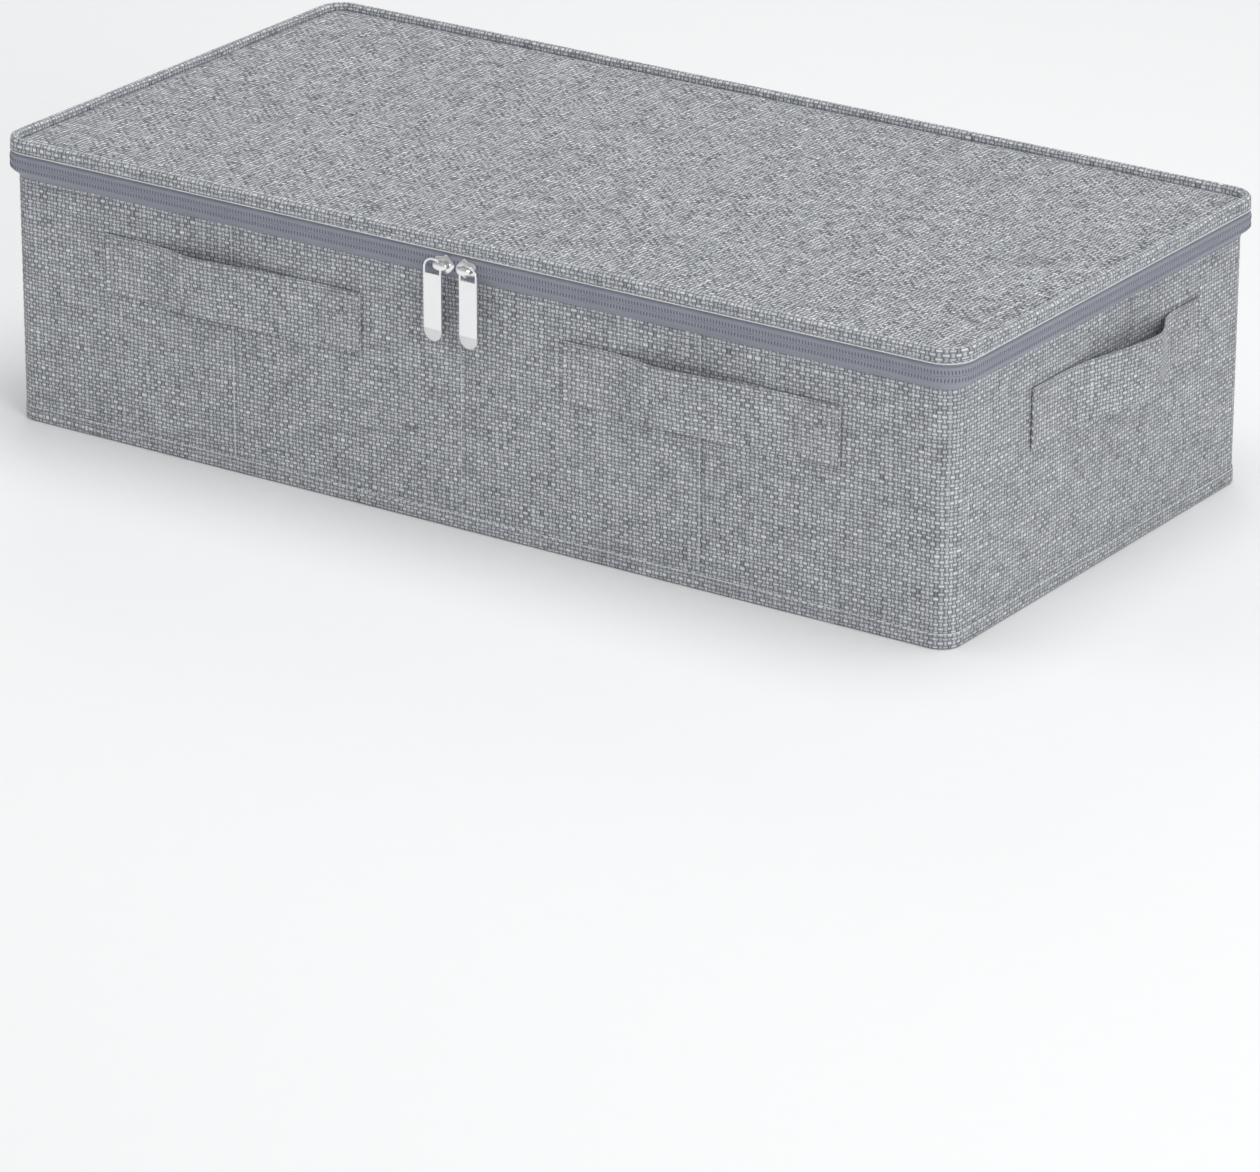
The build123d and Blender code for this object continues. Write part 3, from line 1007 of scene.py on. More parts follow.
class ThreadWork:
    """Rows of short raised stitches, all of one thread, gathered into one mesh."""

    def __init__(self, outline: Outline) -> None:
        """Starts with no stitches round the box's outline."""
        self.outline = outline
        self.bm = bmesh.new()

    def _one(self, stitch: Stitch, middle: Vector, ahead: Vector, out: Vector) -> list[object]:
        """Makes one stitch.

        Args:
            stitch: Its kind.
            middle: Its middle.
            ahead: The direction of the row.
            out: The direction that the cloth faces.

        Returns:
            Its vertices, edges and faces.
        """
        along = Matrix.Rotation(math.radians(stitch.tilt), 3, out) @ ahead
        axes = (along, out.cross(along), out)
        turn = Matrix([axis * size for axis, size in zip(axes, Vector(stitch.half) * MM)]).transposed().to_4x4()
        turn = Matrix.Translation(middle) @ turn
        made = bmesh.ops.create_icosphere(self.bm, subdivisions=1, radius=1.0, matrix=turn)["verts"]
        edges = {edge for vert in made for edge in vert.link_edges}
        faces = {face for vert in made for face in vert.link_faces}
        return made + list(edges) + list(faces)

    def _repeat(
        self,
        geom: list[object],
        count: int,
        centre: Sequence[float] = (0, 0, 0),
        step: Sequence[float] = (0, 0, 0),
        turn: float = 0.0,
    ) -> None:
        """Copies a stitch along its row.

        Args:
            geom: The stitch.
            count: How many there are to be.
            centre: What the row turns round.
            step: The shift from each to the next.
            turn: The turn from each to the next.
        """
        if count > 1:
            run = {"angle": turn * (count - 1), "steps": count - 1, "use_duplicate": True}
            bmesh.ops.spin(self.bm, geom=geom, cent=centre, axis=UP, dvec=step, **run)

    def line(self, start: Vector, end: Vector, out: Vector, stitch: Stitch) -> None:
        """A straight row of stitches.

        Args:
            start: Where the row starts.
            end: Where it ends.
            out: The direction that the cloth faces.
            stitch: The kind of stitch.
        """
        span = end - start
        count = max(1, round(span.length / (stitch.pitch * MM)))
        step = span / count
        geom = self._one(stitch, start + step / 2, span.normalized(), out)
        self._repeat(geom, count, step=step)

    def round_corner(self, index: int, out: float, height: float, stitch: Stitch) -> None:
        """A row round one corner: 0 is back left, then front left, front right and back right.

        Args:
            index: The corner's number.
            out: How far out of the wall's face it lies.
            height: How high it lies.
            stitch: The kind of stitch.
        """
        x, y = self.outline.inner
        centre = Vector(((-x, y), (-x, -y), (x, -y), (x, y))[index]).to_3d()
        radius = self.outline.sizes.corner + out
        count = max(1, round(radius * math.pi / 2 / (stitch.pitch * MM)))
        turn = math.pi / 2 / count
        face = Matrix.Rotation(math.pi / 2 * (index + 1) + turn / 2, 3, "Z") @ Vector((1.0, 0.0, 0.0))
        geom = self._one(stitch, centre + face * radius + UP * height, UP.cross(face), face)
        self._repeat(geom, count, centre=centre, turn=turn)

    def round_box(self, out: float, height: float, stitch: Stitch, back: bool = True) -> None:
        """A row round the box, or round all of it but the back.

        Args:
            out: How far out of the wall's face it lies.
            height: How high it lies.
            stitch: The kind of stitch.
            back: Whether the row runs along the back too.
        """
        for side in (Side.BACK, Side.LEFT, Side.FRONT, Side.RIGHT):
            if side is Side.BACK and not back:
                continue
            middle = side.out * (self.outline.sizes.reach(side) + out) + UP * height
            straight = side.along * self.outline.inner[0 if side in (Side.FRONT, Side.BACK) else 1]
            self.line(middle - straight, middle + straight, side.out, stitch)
        for index in range(4):
            self.round_corner(index, out, height, stitch)

    def piece(self, name: str, material: Material) -> bpy.types.Object:
        """Ends the work and returns it as an object."""
        return new_piece(self.bm, name, material, 80.0)


# --- walls
@dataclass
class Part:
    """What every part of the box is built from.

    Attributes:
        sizes: The box's sizes.
        outline: The box's outline.
        finishes: The materials.
    """

    sizes: Sizes
    outline: Outline
    finishes: Finishes


@dataclass
class Walls(Part):
    """The outer cloth, hem, rim, lining and underside of the box.

    Attributes:
        seams: Where the upright seams lie along the front and the back.
        groove: How deep a seam draws the cloth in.
        pillow: How far a panel stands out between its seams.
        hem_top: How high the hem at the foot reaches.
    """

    seams: tuple[float, ...] = (-0.150, 0.0, 0.150)
    groove: float = 0.75 * MM
    pillow: float = 0.55 * MM
    hem_top: float = 8.4 * MM

    def build(self) -> None:
        """Builds every piece of the walls."""
        fine = (0.5 * MM, 1.1 * MM, 2.4 * MM)
        stations = self.outline.stations(5.0 * MM, self.seams, fine)
        plain = self.outline.stations(10.0 * MM)
        self._cloth(stations)
        self._hem(plain)
        self._rim(plain)
        self._lining(stations)
        self._underside()
        self._stitches()

    def _swell(self, st: Station, out: float, height: float) -> float:
        """How the outer face moves: in at the seams, out between them.

        Args:
            st: The station.
            out: How far out of the face the point lies.
            height: How high it lies.

        Returns:
            How far it moves out.
        """
        if out < -0.5 * MM:
            return 0.0
        share = max(0.0, min(1.0, (height - self.hem_top) / (self.sizes.wall_top - self.hem_top)))
        arch = math.sin(math.pi * share) ** 0.5 if 0 < share < 1 else 0.0
        lengthwise = abs(st.out.y) > 0.9999
        near = min((abs(st.foot.x - seam) for seam in self.seams), default=1.0) if lengthwise else 1.0
        reach = self.outline.inner[0] if lengthwise else self.outline.inner[1]
        edge = reach - abs(st.foot.x if lengthwise else st.foot.y)
        corner = 0.0 if edge < 0 else 1 - bell(edge, 14 * MM)
        full = corner * (1 - bell(near, 11 * MM))
        drawn = self.groove * bell(near, 0.8 * MM) * min(1.0, arch * 4)
        lean = abs(abs(st.out.x) - abs(st.out.y))
        ridge = 0.30 * MM * bell(lean, 0.10) if not lengthwise and lean < 0.5 else 0.0
        place = st.foot + UP * height
        soft = ripple(place, 45 * MM, 0.30 * MM) + ripple(place + UP * 3.0, 16 * MM, 0.10 * MM)
        return arch * (self.pillow * full + soft) + ridge - drawn

    def _cloth(self, stations: list[Station]) -> None:
        """The outer cloth of all four walls, in one.

        Args:
            stations: Where it is built, in order.
        """
        s = self.sizes
        rows = [height * MM for height in (1.0, 4, 8.2, 8.8, 10)]
        rows += [14 * MM + 5.4 * MM * k for k in range(23)]
        rows += [s.wall_top - 4 * MM, s.wall_top - 1.6 * MM, s.wall_top - 0.5 * MM]
        section = [(0.0, z) for z in rows]
        section += [(-0.2 * MM, s.wall_top - 0.1 * MM), (-0.9 * MM, s.wall_top - 0.1 * MM)]
        section += [(-1.0 * MM, s.wall_top - 0.6 * MM), (-1.0 * MM, 70 * MM), (-1.0 * MM, 1.0 * MM)]
        bm = Band(stations, section, self.outline.length, nudge=self._swell).build()
        piece = new_piece(bm, "outer_cloth_walls", self.finishes.cloth, 60.0)
        place_piece(piece, "box", [f"{side.name.lower()}_cover" for side in Side])

    def _hem(self, stations: list[Station]) -> None:
        """The folded hem round the foot.

        Args:
            stations: Where it is built, in order.
        """
        top = self.hem_top
        section = corners(0.0, top, [(0.02, -0.1), (0.30, 0.15), (0.68, -0.05), (0.86, -0.7)])
        section += corners(
            0.0, 0.0, [(0.84, 6.6), (0.60, 5.9), (0.84, 5.2), (0.88, 2.0), (0.70, 0.9), (0.10, 0.25)]
        )
        section += corners(0.0, 0.0, [(-1.2, 0.02), (-6.5, 0.02), (-7.0, 0.30), (-6.5, 0.55), (-0.4, 0.80)])

        def uneven(st: Station, out: float, height: float) -> float:
            """A little unevenness of the outer face."""
            return ripple(st.foot + UP * height, 20 * MM, 0.12 * MM) if out > 0.5 * MM else 0.0

        bm = Band(stations, section, self.outline.length, nudge=uneven).build()
        place_piece(new_piece(bm, "foot_hem", self.finishes.cloth), "box", ["bottom_hem"])

    def _rim(self, stations: list[Station]) -> None:
        """The folded strip over the top edge of the walls.

        Args:
            stations: Where it is built, in order.
        """
        steps = [(-0.25, -0.9), (-0.22, -0.15), (-0.8, 0.22), (-3.3, 0.22), (-4.25, -0.3), (-4.45, -1.5)]
        steps += [(-4.45, -6.6), (-4.2, -7.2), (-3.9, -6.8), (-3.8, -1.2)]
        section = corners(0.0, self.sizes.wall_top, steps)
        bm = Band(stations, section, self.outline.length).build()
        place_piece(new_piece(bm, "rim_binding", self.finishes.cloth), "box")

    def _lining(self, stations: list[Station]) -> None:
        """The lining of the walls, with soft wrinkles and the same seams.

        Args:
            stations: Where it is built, in order.
        """
        s = self.sizes
        rows = [s.wall_top - 1.2 * MM, s.wall_top - 5 * MM]
        rows += [s.wall_top - 12 * MM - 8.5 * MM * k for k in range(15)] + [1.0 * MM]
        section = [(-3.45 * MM, 1.0 * MM), (-3.45 * MM, 70 * MM), (-3.45 * MM, s.wall_top - 1.2 * MM)]
        section += [(-4.0 * MM, z) for z in rows]

        def wrinkle(st: Station, out: float, height: float) -> float:
            """Wrinkles of the inner face, shallower near its hem.

            Args:
                st: The station.
                out: How far out of the face the point lies.
                height: How high it lies.

            Returns:
                How far it moves out.
            """
            if out > -3.6 * MM:
                return 0.0
            fade = min(1.0, (s.wall_top - height) / (20 * MM))
            lengthwise = abs(st.out.y) > 0.9999
            near = min(abs(st.foot.x - seam) for seam in self.seams) if lengthwise else 1.0
            drawn = 0.35 * MM * bell(near, 0.9 * MM)
            place = Vector((st.foot.x, st.foot.y, height * 0.45))
            return fade * (drawn - abs(ripple(place, 26 * MM, 0.7 * MM)))

        bm = Band(stations, section, self.outline.length, nudge=wrinkle).build()
        piece = new_piece(bm, "wall_lining_cloth", self.finishes.lining, 60.0)
        place_piece(piece, "box", [f"{side.name.lower()}_lining" for side in Side])

    def _underside(self) -> None:
        """The cloth of the underside."""
        s = self.sizes
        half = (s.half_length - 0.6 * MM, s.half_depth - 0.6 * MM)
        slab = Slab(half, s.corner - 0.6 * MM, 0.10 * MM, 1.0 * MM, 12 * MM)
        slab.drop = lambda x, y: abs(ripple(Vector((x, y, 0.0)), 60 * MM, 0.25 * MM))
        piece = new_piece(slab.build(), "underside_cloth", self.finishes.cloth)
        place_piece(piece, "box", ["bottom_cover"])

    def _stitches(self) -> None:
        """The thread of the hem, the corners and the upright seams."""
        s = self.sizes
        pale = ThreadWork(self.outline)
        pale.round_box(0.72 * MM, 5.9 * MM, Stitch(3.3, (1.25, 0.26, 0.22)))
        x, y = self.outline.inner
        reach = s.corner + 0.38 * MM
        for index in range(4):
            face = Vector(((-1, 1), (-1, -1), (1, -1), (1, 1))[index]).to_3d().normalized()
            foot = Vector((math.copysign(x, face.x), math.copysign(y, face.y), 0.0)) + face * reach
            low, high = foot + UP * (self.hem_top + 1 * MM), foot + UP * (s.wall_top - 2 * MM)
            pale.line(low, high, face, Stitch(5.2, (2.9, 0.32, 0.30)))
        place_piece(pale.piece("wall_stitches", self.finishes.pale_thread), "box")
        # Pale strands along the hem's top and beside the upright seams: painted highlight on the folds.
        folds = ThreadWork(self.outline)
        folds.round_box(0.66 * MM, self.hem_top - 0.1 * MM, Stitch(5.2, (2.9, 0.30, 0.26)))
        for side in (Side.FRONT, Side.BACK):
            for seam in self.seams:
                foot = Vector((seam, 0.0, 0.0)) - side.along * 1.0 * MM + side.out * (s.half_depth + 0.16 * MM)
                low, high = foot + UP * (self.hem_top + 0.6 * MM), foot + UP * (s.wall_top - 2.4 * MM)
                folds.line(low, high, side.out, Stitch(5.2, (2.9, 0.28, 0.28), 0.6))
        place_piece(folds.piece("seam_folds", self.finishes.fold), "box")


# --- lid
@dataclass
class Lid(Part):
    """The lid's panel, edge, rib and lining."""

    def build(self) -> None:
        """Builds every piece of the lid."""
        stations = self.outline.stations(5.0 * MM)
        self._panel()
        self._edge(stations)
        self._fold(stations)
        self._lining()

    def _panel(self) -> None:
        """The cloth of the top, drawn down into a groove along the rib."""
        s = self.sizes
        half = (s.half_length + 0.9 * MM, s.half_depth + 0.9 * MM)

        def lift(x: float, y: float) -> float:
            """The height above the flat panel.

            Args:
                x: The place along the box.
                y: The place across it.

            Returns:
                The rise.
            """
            edge = min(half[0] - abs(x), half[1] - abs(y)) - 0.9 * MM
            groove = 1.1 * MM * bell(max(edge, 0.0), 2.4 * MM)
            inner = 1 - bell(max(edge, 0.0), 25 * MM)
            place = Vector((x, y, 7.0))
            swell = inner * (0.25 * MM + ripple(place, 70 * MM, 0.35 * MM))
            return swell + ripple(place, 18 * MM, 0.08 * MM) - groove

        slab = Slab(half, s.corner * 0.6, s.panel - 1.0 * MM, s.panel, 2.6 * MM, lift=lift)
        slab.drop = lambda x, y: -0.3 * MM
        piece = new_piece(slab.build(), "lid_panel_cloth", self.finishes.lid_cloth)
        place_piece(piece, "lid", ["lid_cover"])

    def _edge(self, stations: list[Station]) -> None:
        """The upright edge and the raised rib above it, in one run of cloth.

        Args:
            stations: Where it is built, in order.
        """
        s = self.sizes
        foot, rib, out = s.skirt_foot, s.rib_top, s.overhang
        face = [(-1.10, 0.25), (-0.55, 0.02), (-0.08, 0.30), (0.12, 1.0), (0.05, 1.7), (0.10, 2.6), (0.14, 3.8)]
        round_rib = [(0.06, -2.4), (-0.10, -1.5), (-0.60, -0.65), (-1.45, -0.10), (-2.45, 0.05), (-3.45, -0.15)]
        inside = [(-4.30, -0.80), (-4.80, -1.8), (-4.92, -3.0), (-4.85, -4.6), (-1.20, -4.6)]
        section = corners(out, foot, face + [(0.02, 4.8)]) + corners(out, rib, round_rib + inside)
        section += corners(out, foot, [(-1.20, 1.0)])

        def uneven(st: Station, at: float, height: float) -> float:
            """Soft unevenness of the outer face."""
            return ripple(st.foot + UP * height * 2, 30 * MM, 0.22 * MM) if at > out - 4.9 * MM else 0.0

        bm = Band(stations, section, self.outline.length, nudge=uneven).build()
        piece = new_piece(bm, "lid_edge_cloth", self.finishes.cloth, 60.0)
        place_piece(piece, "lid", ["lid_skirt", "lid_piping"])

    def _fold(self, stations: list[Station]) -> None:
        """A raised pale strand along the folded lower edge, its colour painted highlight where the fold catches the
        light, and the stitches above it.

        Args:
            stations: Where it is built, in order.
        """
        s = self.sizes
        middle = (s.overhang + 0.08 * MM, s.skirt_foot + 0.42 * MM)
        section = [
            (middle[0] + 0.30 * MM * math.cos(a), middle[1] + 0.34 * MM * math.sin(a))
            for a in (math.pi / 4 * k for k in range(8))
        ]

        def slub(st: Station, out: float, height: float) -> float:
            """Thick and thin places of the pale strand."""
            return ripple(st.foot, 6 * MM, 0.16 * MM) if out > middle[0] else 0.0

        bm = Band(stations, section, self.outline.length, nudge=slub).build()
        place_piece(new_piece(bm, "lid_folded_edge", self.finishes.fold), "lid")
        thread = ThreadWork(self.outline)
        thread.round_box(s.overhang + 0.08 * MM, s.skirt_foot + 1.75 * MM, Stitch(3.0, (1.1, 0.24, 0.2)))
        place_piece(thread.piece("lid_stitches", self.finishes.pale_thread), "lid")

    def _lining(self) -> None:
        """The lining under the lid's board."""
        s = self.sizes
        low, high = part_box("lid_lining")[0].z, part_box("lid_lining")[1].z
        grow = s.overhang - 1.9 * MM

        def sag(x: float, y: float) -> float:
            """The lining hangs a little away from the board.

            Args:
                x: The place along the box.
                y: The place across it.

            Returns:
                The rise, below zero.
            """
            edge = min(s.half_length - abs(x), s.half_depth - abs(y))
            free = 1 - bell(max(edge, 0.0), 30 * MM)
            return -free * (0.4 * MM + ripple(Vector((x, y, 2.0)), 55 * MM, 0.6 * MM))

        half = (s.half_length + grow, s.half_depth + grow)
        slab = Slab(half, s.corner + grow, low, high, 8 * MM, drop=sag)
        piece = new_piece(slab.build(), "lid_lining_cloth", self.finishes.lining)
        place_piece(piece, "lid", ["lid_lining"])


# --- zip
@dataclass
class Zip(Part):
    """The two tapes, their chain stitches and the two coils.

    Attributes:
        tooth: The distance from tooth to tooth of a coil, in millimetres.
        stitch_rise: How far the chain stitches lie above and below the chain.
    """

    tooth: float = 1.85
    stitch_rise: float = 2.05 * MM

    def build(self) -> None:
        """Builds every piece of the zip."""
        stations = self.outline.zip_run(self.outline.stations(6.0 * MM))
        s = self.sizes
        face, top, chain = s.tape_face, s.wall_top, s.chain
        lower = corners(
            0.0, top, [(0.02, -1.6), (0.55, -1.7), (0.75, -1.2), (1.25, -0.1), (2.60, 0.9), (4.10, 2.0)]
        )
        lower += corners(face, top, [(-0.12, 3.3), (0.0, 4.6)])
        lower += corners(
            face, chain, [(0.02, -1.2), (0.0, -0.25), (-0.15, -0.07), (-0.60, -0.08), (-0.70, -0.4)]
        )
        lower += corners(face, top, [(-0.70, 4.2)]) + corners(0.0, top, [(3.30, 2.6), (1.60, 1.2), (0.02, 0.1)])
        skirt = s.overhang - 1.2 * MM
        upper = corners(face, chain, [(-0.70, 0.4), (-0.60, 0.08), (-0.15, 0.07), (0.0, 0.25), (0.02, 1.2)])
        upper += corners(face, chain, [(0.0, 3.5), (-0.25, 4.5)]) + corners(skirt, chain, [(0.45, 5.1)])
        upper += corners(skirt, s.skirt_foot, [(0.10, -0.3), (-0.02, 0.8), (-0.65, 0.8), (-0.65, -0.6)])
        upper += corners(skirt, chain, [(-0.20, 4.4)]) + corners(face, chain, [(-0.75, 3.4)])
        for name, section, body, node in (
            ("lower_zip_tape", lower, "box", "zipper_tape_lower"),
            ("upper_zip_tape", upper, "lid", "zipper_tape_upper"),
        ):
            bm = Band(stations, section, self.outline.length, ring=False).build()
            place_piece(new_piece(bm, name, self.finishes.tape, 50.0), body, [node])
        self._rows()

    def _rows(self) -> None:
        """The slanting stitches and the coils that they hold, as rows of upright loops."""
        s, f = self.sizes, self.finishes
        behind = -0.7 * MM - 1.05 * MM
        for kind, finish, out, rise, half, lean, slot in (
            ("chain_stitches", f.chain_stitch, 0.02 * MM, self.stitch_rise, (0.38, 1.45, 0.20), 8.0, "zipper_tape"),
            ("coil_teeth", f.coil, behind, 1.5 * MM, (0.30, 2.05, 1.0), 10.0, "zipper_coil"),
        ):
            for level, sign, body in (("lower", -1, "box"), ("upper", 1, "lid")):
                work = ThreadWork(self.outline)
                height = s.chain + sign * rise
                work.round_box(s.tape_face + out, height, Stitch(self.tooth, half, sign * lean), back=False)
                replaced = [f"zipper_coil_{level}"] if slot == "zipper_coil" else []
                place_piece(work.piece(f"{level}_{kind}", finish), body, replaced)


@dataclass
class Slider(Part):
    """One cast slider: a faceted plate, its inner plate, and the crown that holds the pull.

    Attributes:
        hand: Which slider it is.
        length: From its tail to its nose.
        plate: The thickness of its inner plate.
    """

    hand: Hand
    length: float = 12.5 * MM
    plate: float = 1.1 * MM

    @property
    def node(self) -> str:
        """The frame's name for it."""
        return f"slider_{self.hand.name.lower()}"

    def _frame(self) -> Matrix:
        """Its own axes: X from the tail to the nose, Y up, Z out of the front, from the tail's middle.

        Returns:
            The move from its own axes to the box's.
        """
        low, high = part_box(self.node)
        tail = low.x if self.hand is Hand.LEFT else high.x
        nose = Vector((self.hand.value, 0.0, 0.0))
        axes = Matrix((nose, UP, Vector((0.0, -1.0, 0.0)))).transposed().to_4x4()
        return Matrix.Translation((tail, -self.sizes.half_depth, self.sizes.chain)) @ axes

    def build(self) -> None:
        """Builds the slider."""
        bm = bmesh.new()
        self._outer_plate(bm)
        self._inner_plate(bm)
        self._crown(bm)
        bmesh.ops.transform(bm, matrix=self._frame(), verts=bm.verts[:])
        face_out(bm)
        piece = new_piece(bm, f"{self.node}_casting", self.finishes.metal, 28.0)
        place_piece(piece, f"{self.hand.name.lower()}_slider", [self.node])

    def _outer_plate(self, bm: bmesh.types.BMesh) -> None:
        """The leaf shaped front plate, its facets rising to a ridge.

        Args:
            bm: The slider being built.
        """
        back = self.sizes.tape_face + 0.3 * MM
        half = [(0.0, 3.1), (1.6, 3.7), (5.2, 4.1), (7.2, 5.5), (9.6, 3.9), (12.1, 1.0), (12.5, 0.0)]
        ring = [(x, -y) for x, y in half] + half[-2::-1]
        face = bm.faces.new([bm.verts.new((x * MM, y * MM, back)) for x, y in ring])
        raised = bmesh.ops.extrude_face_region(bm, geom=[face])["geom"]
        tops = [g for g in raised if isinstance(g, bmesh.types.BMVert)]
        bmesh.ops.translate(bm, vec=(0, 0, 0.55 * MM), verts=tops)
        cap = [g for g in raised if isinstance(g, bmesh.types.BMFace)]
        bmesh.ops.inset_region(bm, faces=cap, thickness=1.15 * MM, depth=0.55 * MM, use_even_offset=True)
        edges = [e for e in bm.edges if e.calc_length() > 0.4 * MM and e.calc_face_angle(0.0) > 0.5]
        round_edges(bm, edges, 0.14 * MM, 2, clamp=True)

    def _inner_plate(self, bm: bmesh.types.BMesh) -> None:
        """The plate behind the coils and the thin web that joins it to the front one.

        Args:
            bm: The slider being built.
        """
        front = self.sizes.tape_face - 0.7 * MM - 2.2 * MM - 0.3 * MM
        size = Matrix.Diagonal((self.length - 1.0 * MM, 7.8 * MM, self.plate, 1.0))
        spot = Matrix.Translation((self.length / 2, 0.0, front - self.plate / 2))
        made = bmesh.ops.create_cube(bm, size=1.0, matrix=spot @ size)["verts"]
        edges = {e for v in made for e in v.link_edges}
        round_edges(bm, edges, 0.4 * MM)
        reach = self.sizes.tape_face + 0.4 * MM - front
        web = Matrix.Translation((self.length - 1.5 * MM, 0.0, front + reach / 2 - 0.05 * MM))
        bmesh.ops.create_cube(bm, size=1.0, matrix=web @ Matrix.Diagonal((3.0 * MM, 0.4 * MM, reach, 1.0)))

    def _crown(self, bm: bmesh.types.BMesh) -> None:
        """The arched bar over the plate, broad in its middle.

        Args:
            bm: The slider being built.
        """
        base = self.sizes.tape_face + 0.3 * MM + self.plate - 0.25 * MM
        path = [
            (1.35, 0.0, 1.0, 90.0),
            (1.30, 2.4, 1.05, 88.0),
            (1.55, 3.9, 1.15, 60.0),
            (2.60, 4.75, 1.45, 24.0),
            (4.60, 5.05, 1.95, 4.0),
            (6.80, 5.00, 2.05, -4.0),
            (8.50, 4.60, 1.55, -24.0),
            (9.50, 3.75, 1.20, -60.0),
            (9.80, 2.3, 1.10, -88.0),
            (9.75, 0.0, 1.10, -90.0),
        ]
        thick = 0.55 * MM
        face = None
        for x, rise, half, angle in path:
            turn = math.radians(angle)
            outward = Vector((-math.sin(turn), 0.0, math.cos(turn)))
            centre = Vector((x * MM, 0.0, base + rise * MM - thick))
            spots = [
                centre + Vector((0, side * half * MM, 0)) + outward * lift * thick
                for side, lift in ((-1, -1), (1, -1), (1, 0.4), (0.5, 1), (-0.5, 1), (-1, 0.4))
            ]
            if face is None:
                face = bm.faces.new([bm.verts.new(spot) for spot in spots])
            else:
                face = bmesh.ops.extrude_discrete_faces(bm, faces=[face])["faces"][0]
                self._settle(face, spots)

    @staticmethod
    def _settle(face: bmesh.types.BMFace, spots: Sequence[Vector]) -> None:
        """Moves an extruded face's corners to their places, in their order."""
        for vert, spot in zip(face.verts, spots):
            vert.co = spot


@dataclass
class Pull(Part):
    """One zip pull: a flat tab with a bevelled tip, hung by its ring.

    Attributes:
        hand: Which pull it is.
        wire: How thick its ring is, in the plane of the pull.
        shoulder: How far below the ring's centre the tab starts.
        tip: The length of the bevelled tip.
    """

    hand: Hand
    wire: float = 1.2 * MM
    shoulder: float = 3.0 * MM
    tip: float = 7.3 * MM

    @property
    def node(self) -> str:
        """The frame's name for it."""
        return f"pull_{self.hand.name.lower()}"

    def build(self) -> None:
        """Builds the pull."""
        low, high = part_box(self.node)
        radius = (high.x - low.x) / 2
        drop = high.z - low.z - 2 * radius
        bm = bmesh.new()
        bmesh.ops.create_circle(bm, cap_ends=True, radius=radius, segments=56)
        bmesh.ops.translate(bm, vec=(0, -drop, 0), verts=[v for v in bm.verts if v.co.y < -1e-6])
        tip_top = -drop - radius + self.tip
        for height in (-self.shoulder - self.wire, tip_top, tip_top - 0.5 * MM):
            geom = bm.verts[:] + bm.edges[:] + bm.faces[:]
            bmesh.ops.bisect_plane(bm, geom=geom, plane_co=(0, height, 0), plane_no=(0, 1, 0))
        ring = [f for f in bm.faces if f.calc_center_median().y > -self.shoulder]
        bmesh.ops.inset_region(bm, faces=ring, thickness=self.wire, use_even_offset=True, use_boundary=True)
        bmesh.ops.delete(bm, geom=ring, context="FACES")
        self._thicken(bm, high.y - low.y, tip_top)
        middle = Vector(((low.x + high.x) / 2, (low.y + high.y) / 2, high.z - radius))
        axes = Matrix(((1, 0, 0), (0, 0, 1), (0, -1, 0))).transposed().to_4x4()
        bmesh.ops.transform(bm, matrix=Matrix.Translation(middle) @ axes, verts=bm.verts[:])
        face_out(bm)
        piece = new_piece(bm, f"{self.node}_tab", self.finishes.pull_metal, 32.0)
        # The bevelled tip's faces take the darker plating: painted shade on the bevel.
        piece.data.materials.append(self.finishes.shaded_pull_tip)
        for polygon in piece.data.polygons:
            if polygon.center.z < low.z + self.tip - 0.3 * MM:
                polygon.material_index = 1
        place_piece(piece, f"{self.hand.name.lower()}_pull", [self.node])

    def _thicken(self, bm: bmesh.types.BMesh, thickness: float, bend: float) -> None:
        """Gives the flat outline its thickness, thins its tip and rounds its edges.

        Args:
            bm: The outline being built.
            thickness: The tab's thickness.
            bend: The height that the tip starts at.
        """
        raised = bmesh.ops.extrude_face_region(bm, geom=bm.faces[:])["geom"]
        tops = {g for g in raised if isinstance(g, bmesh.types.BMVert)}
        for vert in bm.verts:
            vert.co.z = thickness / 2 if vert in tops else -thickness / 2
            if vert in tops and vert.co.y < bend - 0.1 * MM:
                vert.co.z -= min(0.55 * MM, 0.16 * MM + 0.05 * (bend - vert.co.y))
        face_out(bm)
        rims = [e for e in bm.edges if e.calc_face_angle(0.0) > math.radians(55)]
        round_edges(bm, rims, 0.26 * MM)


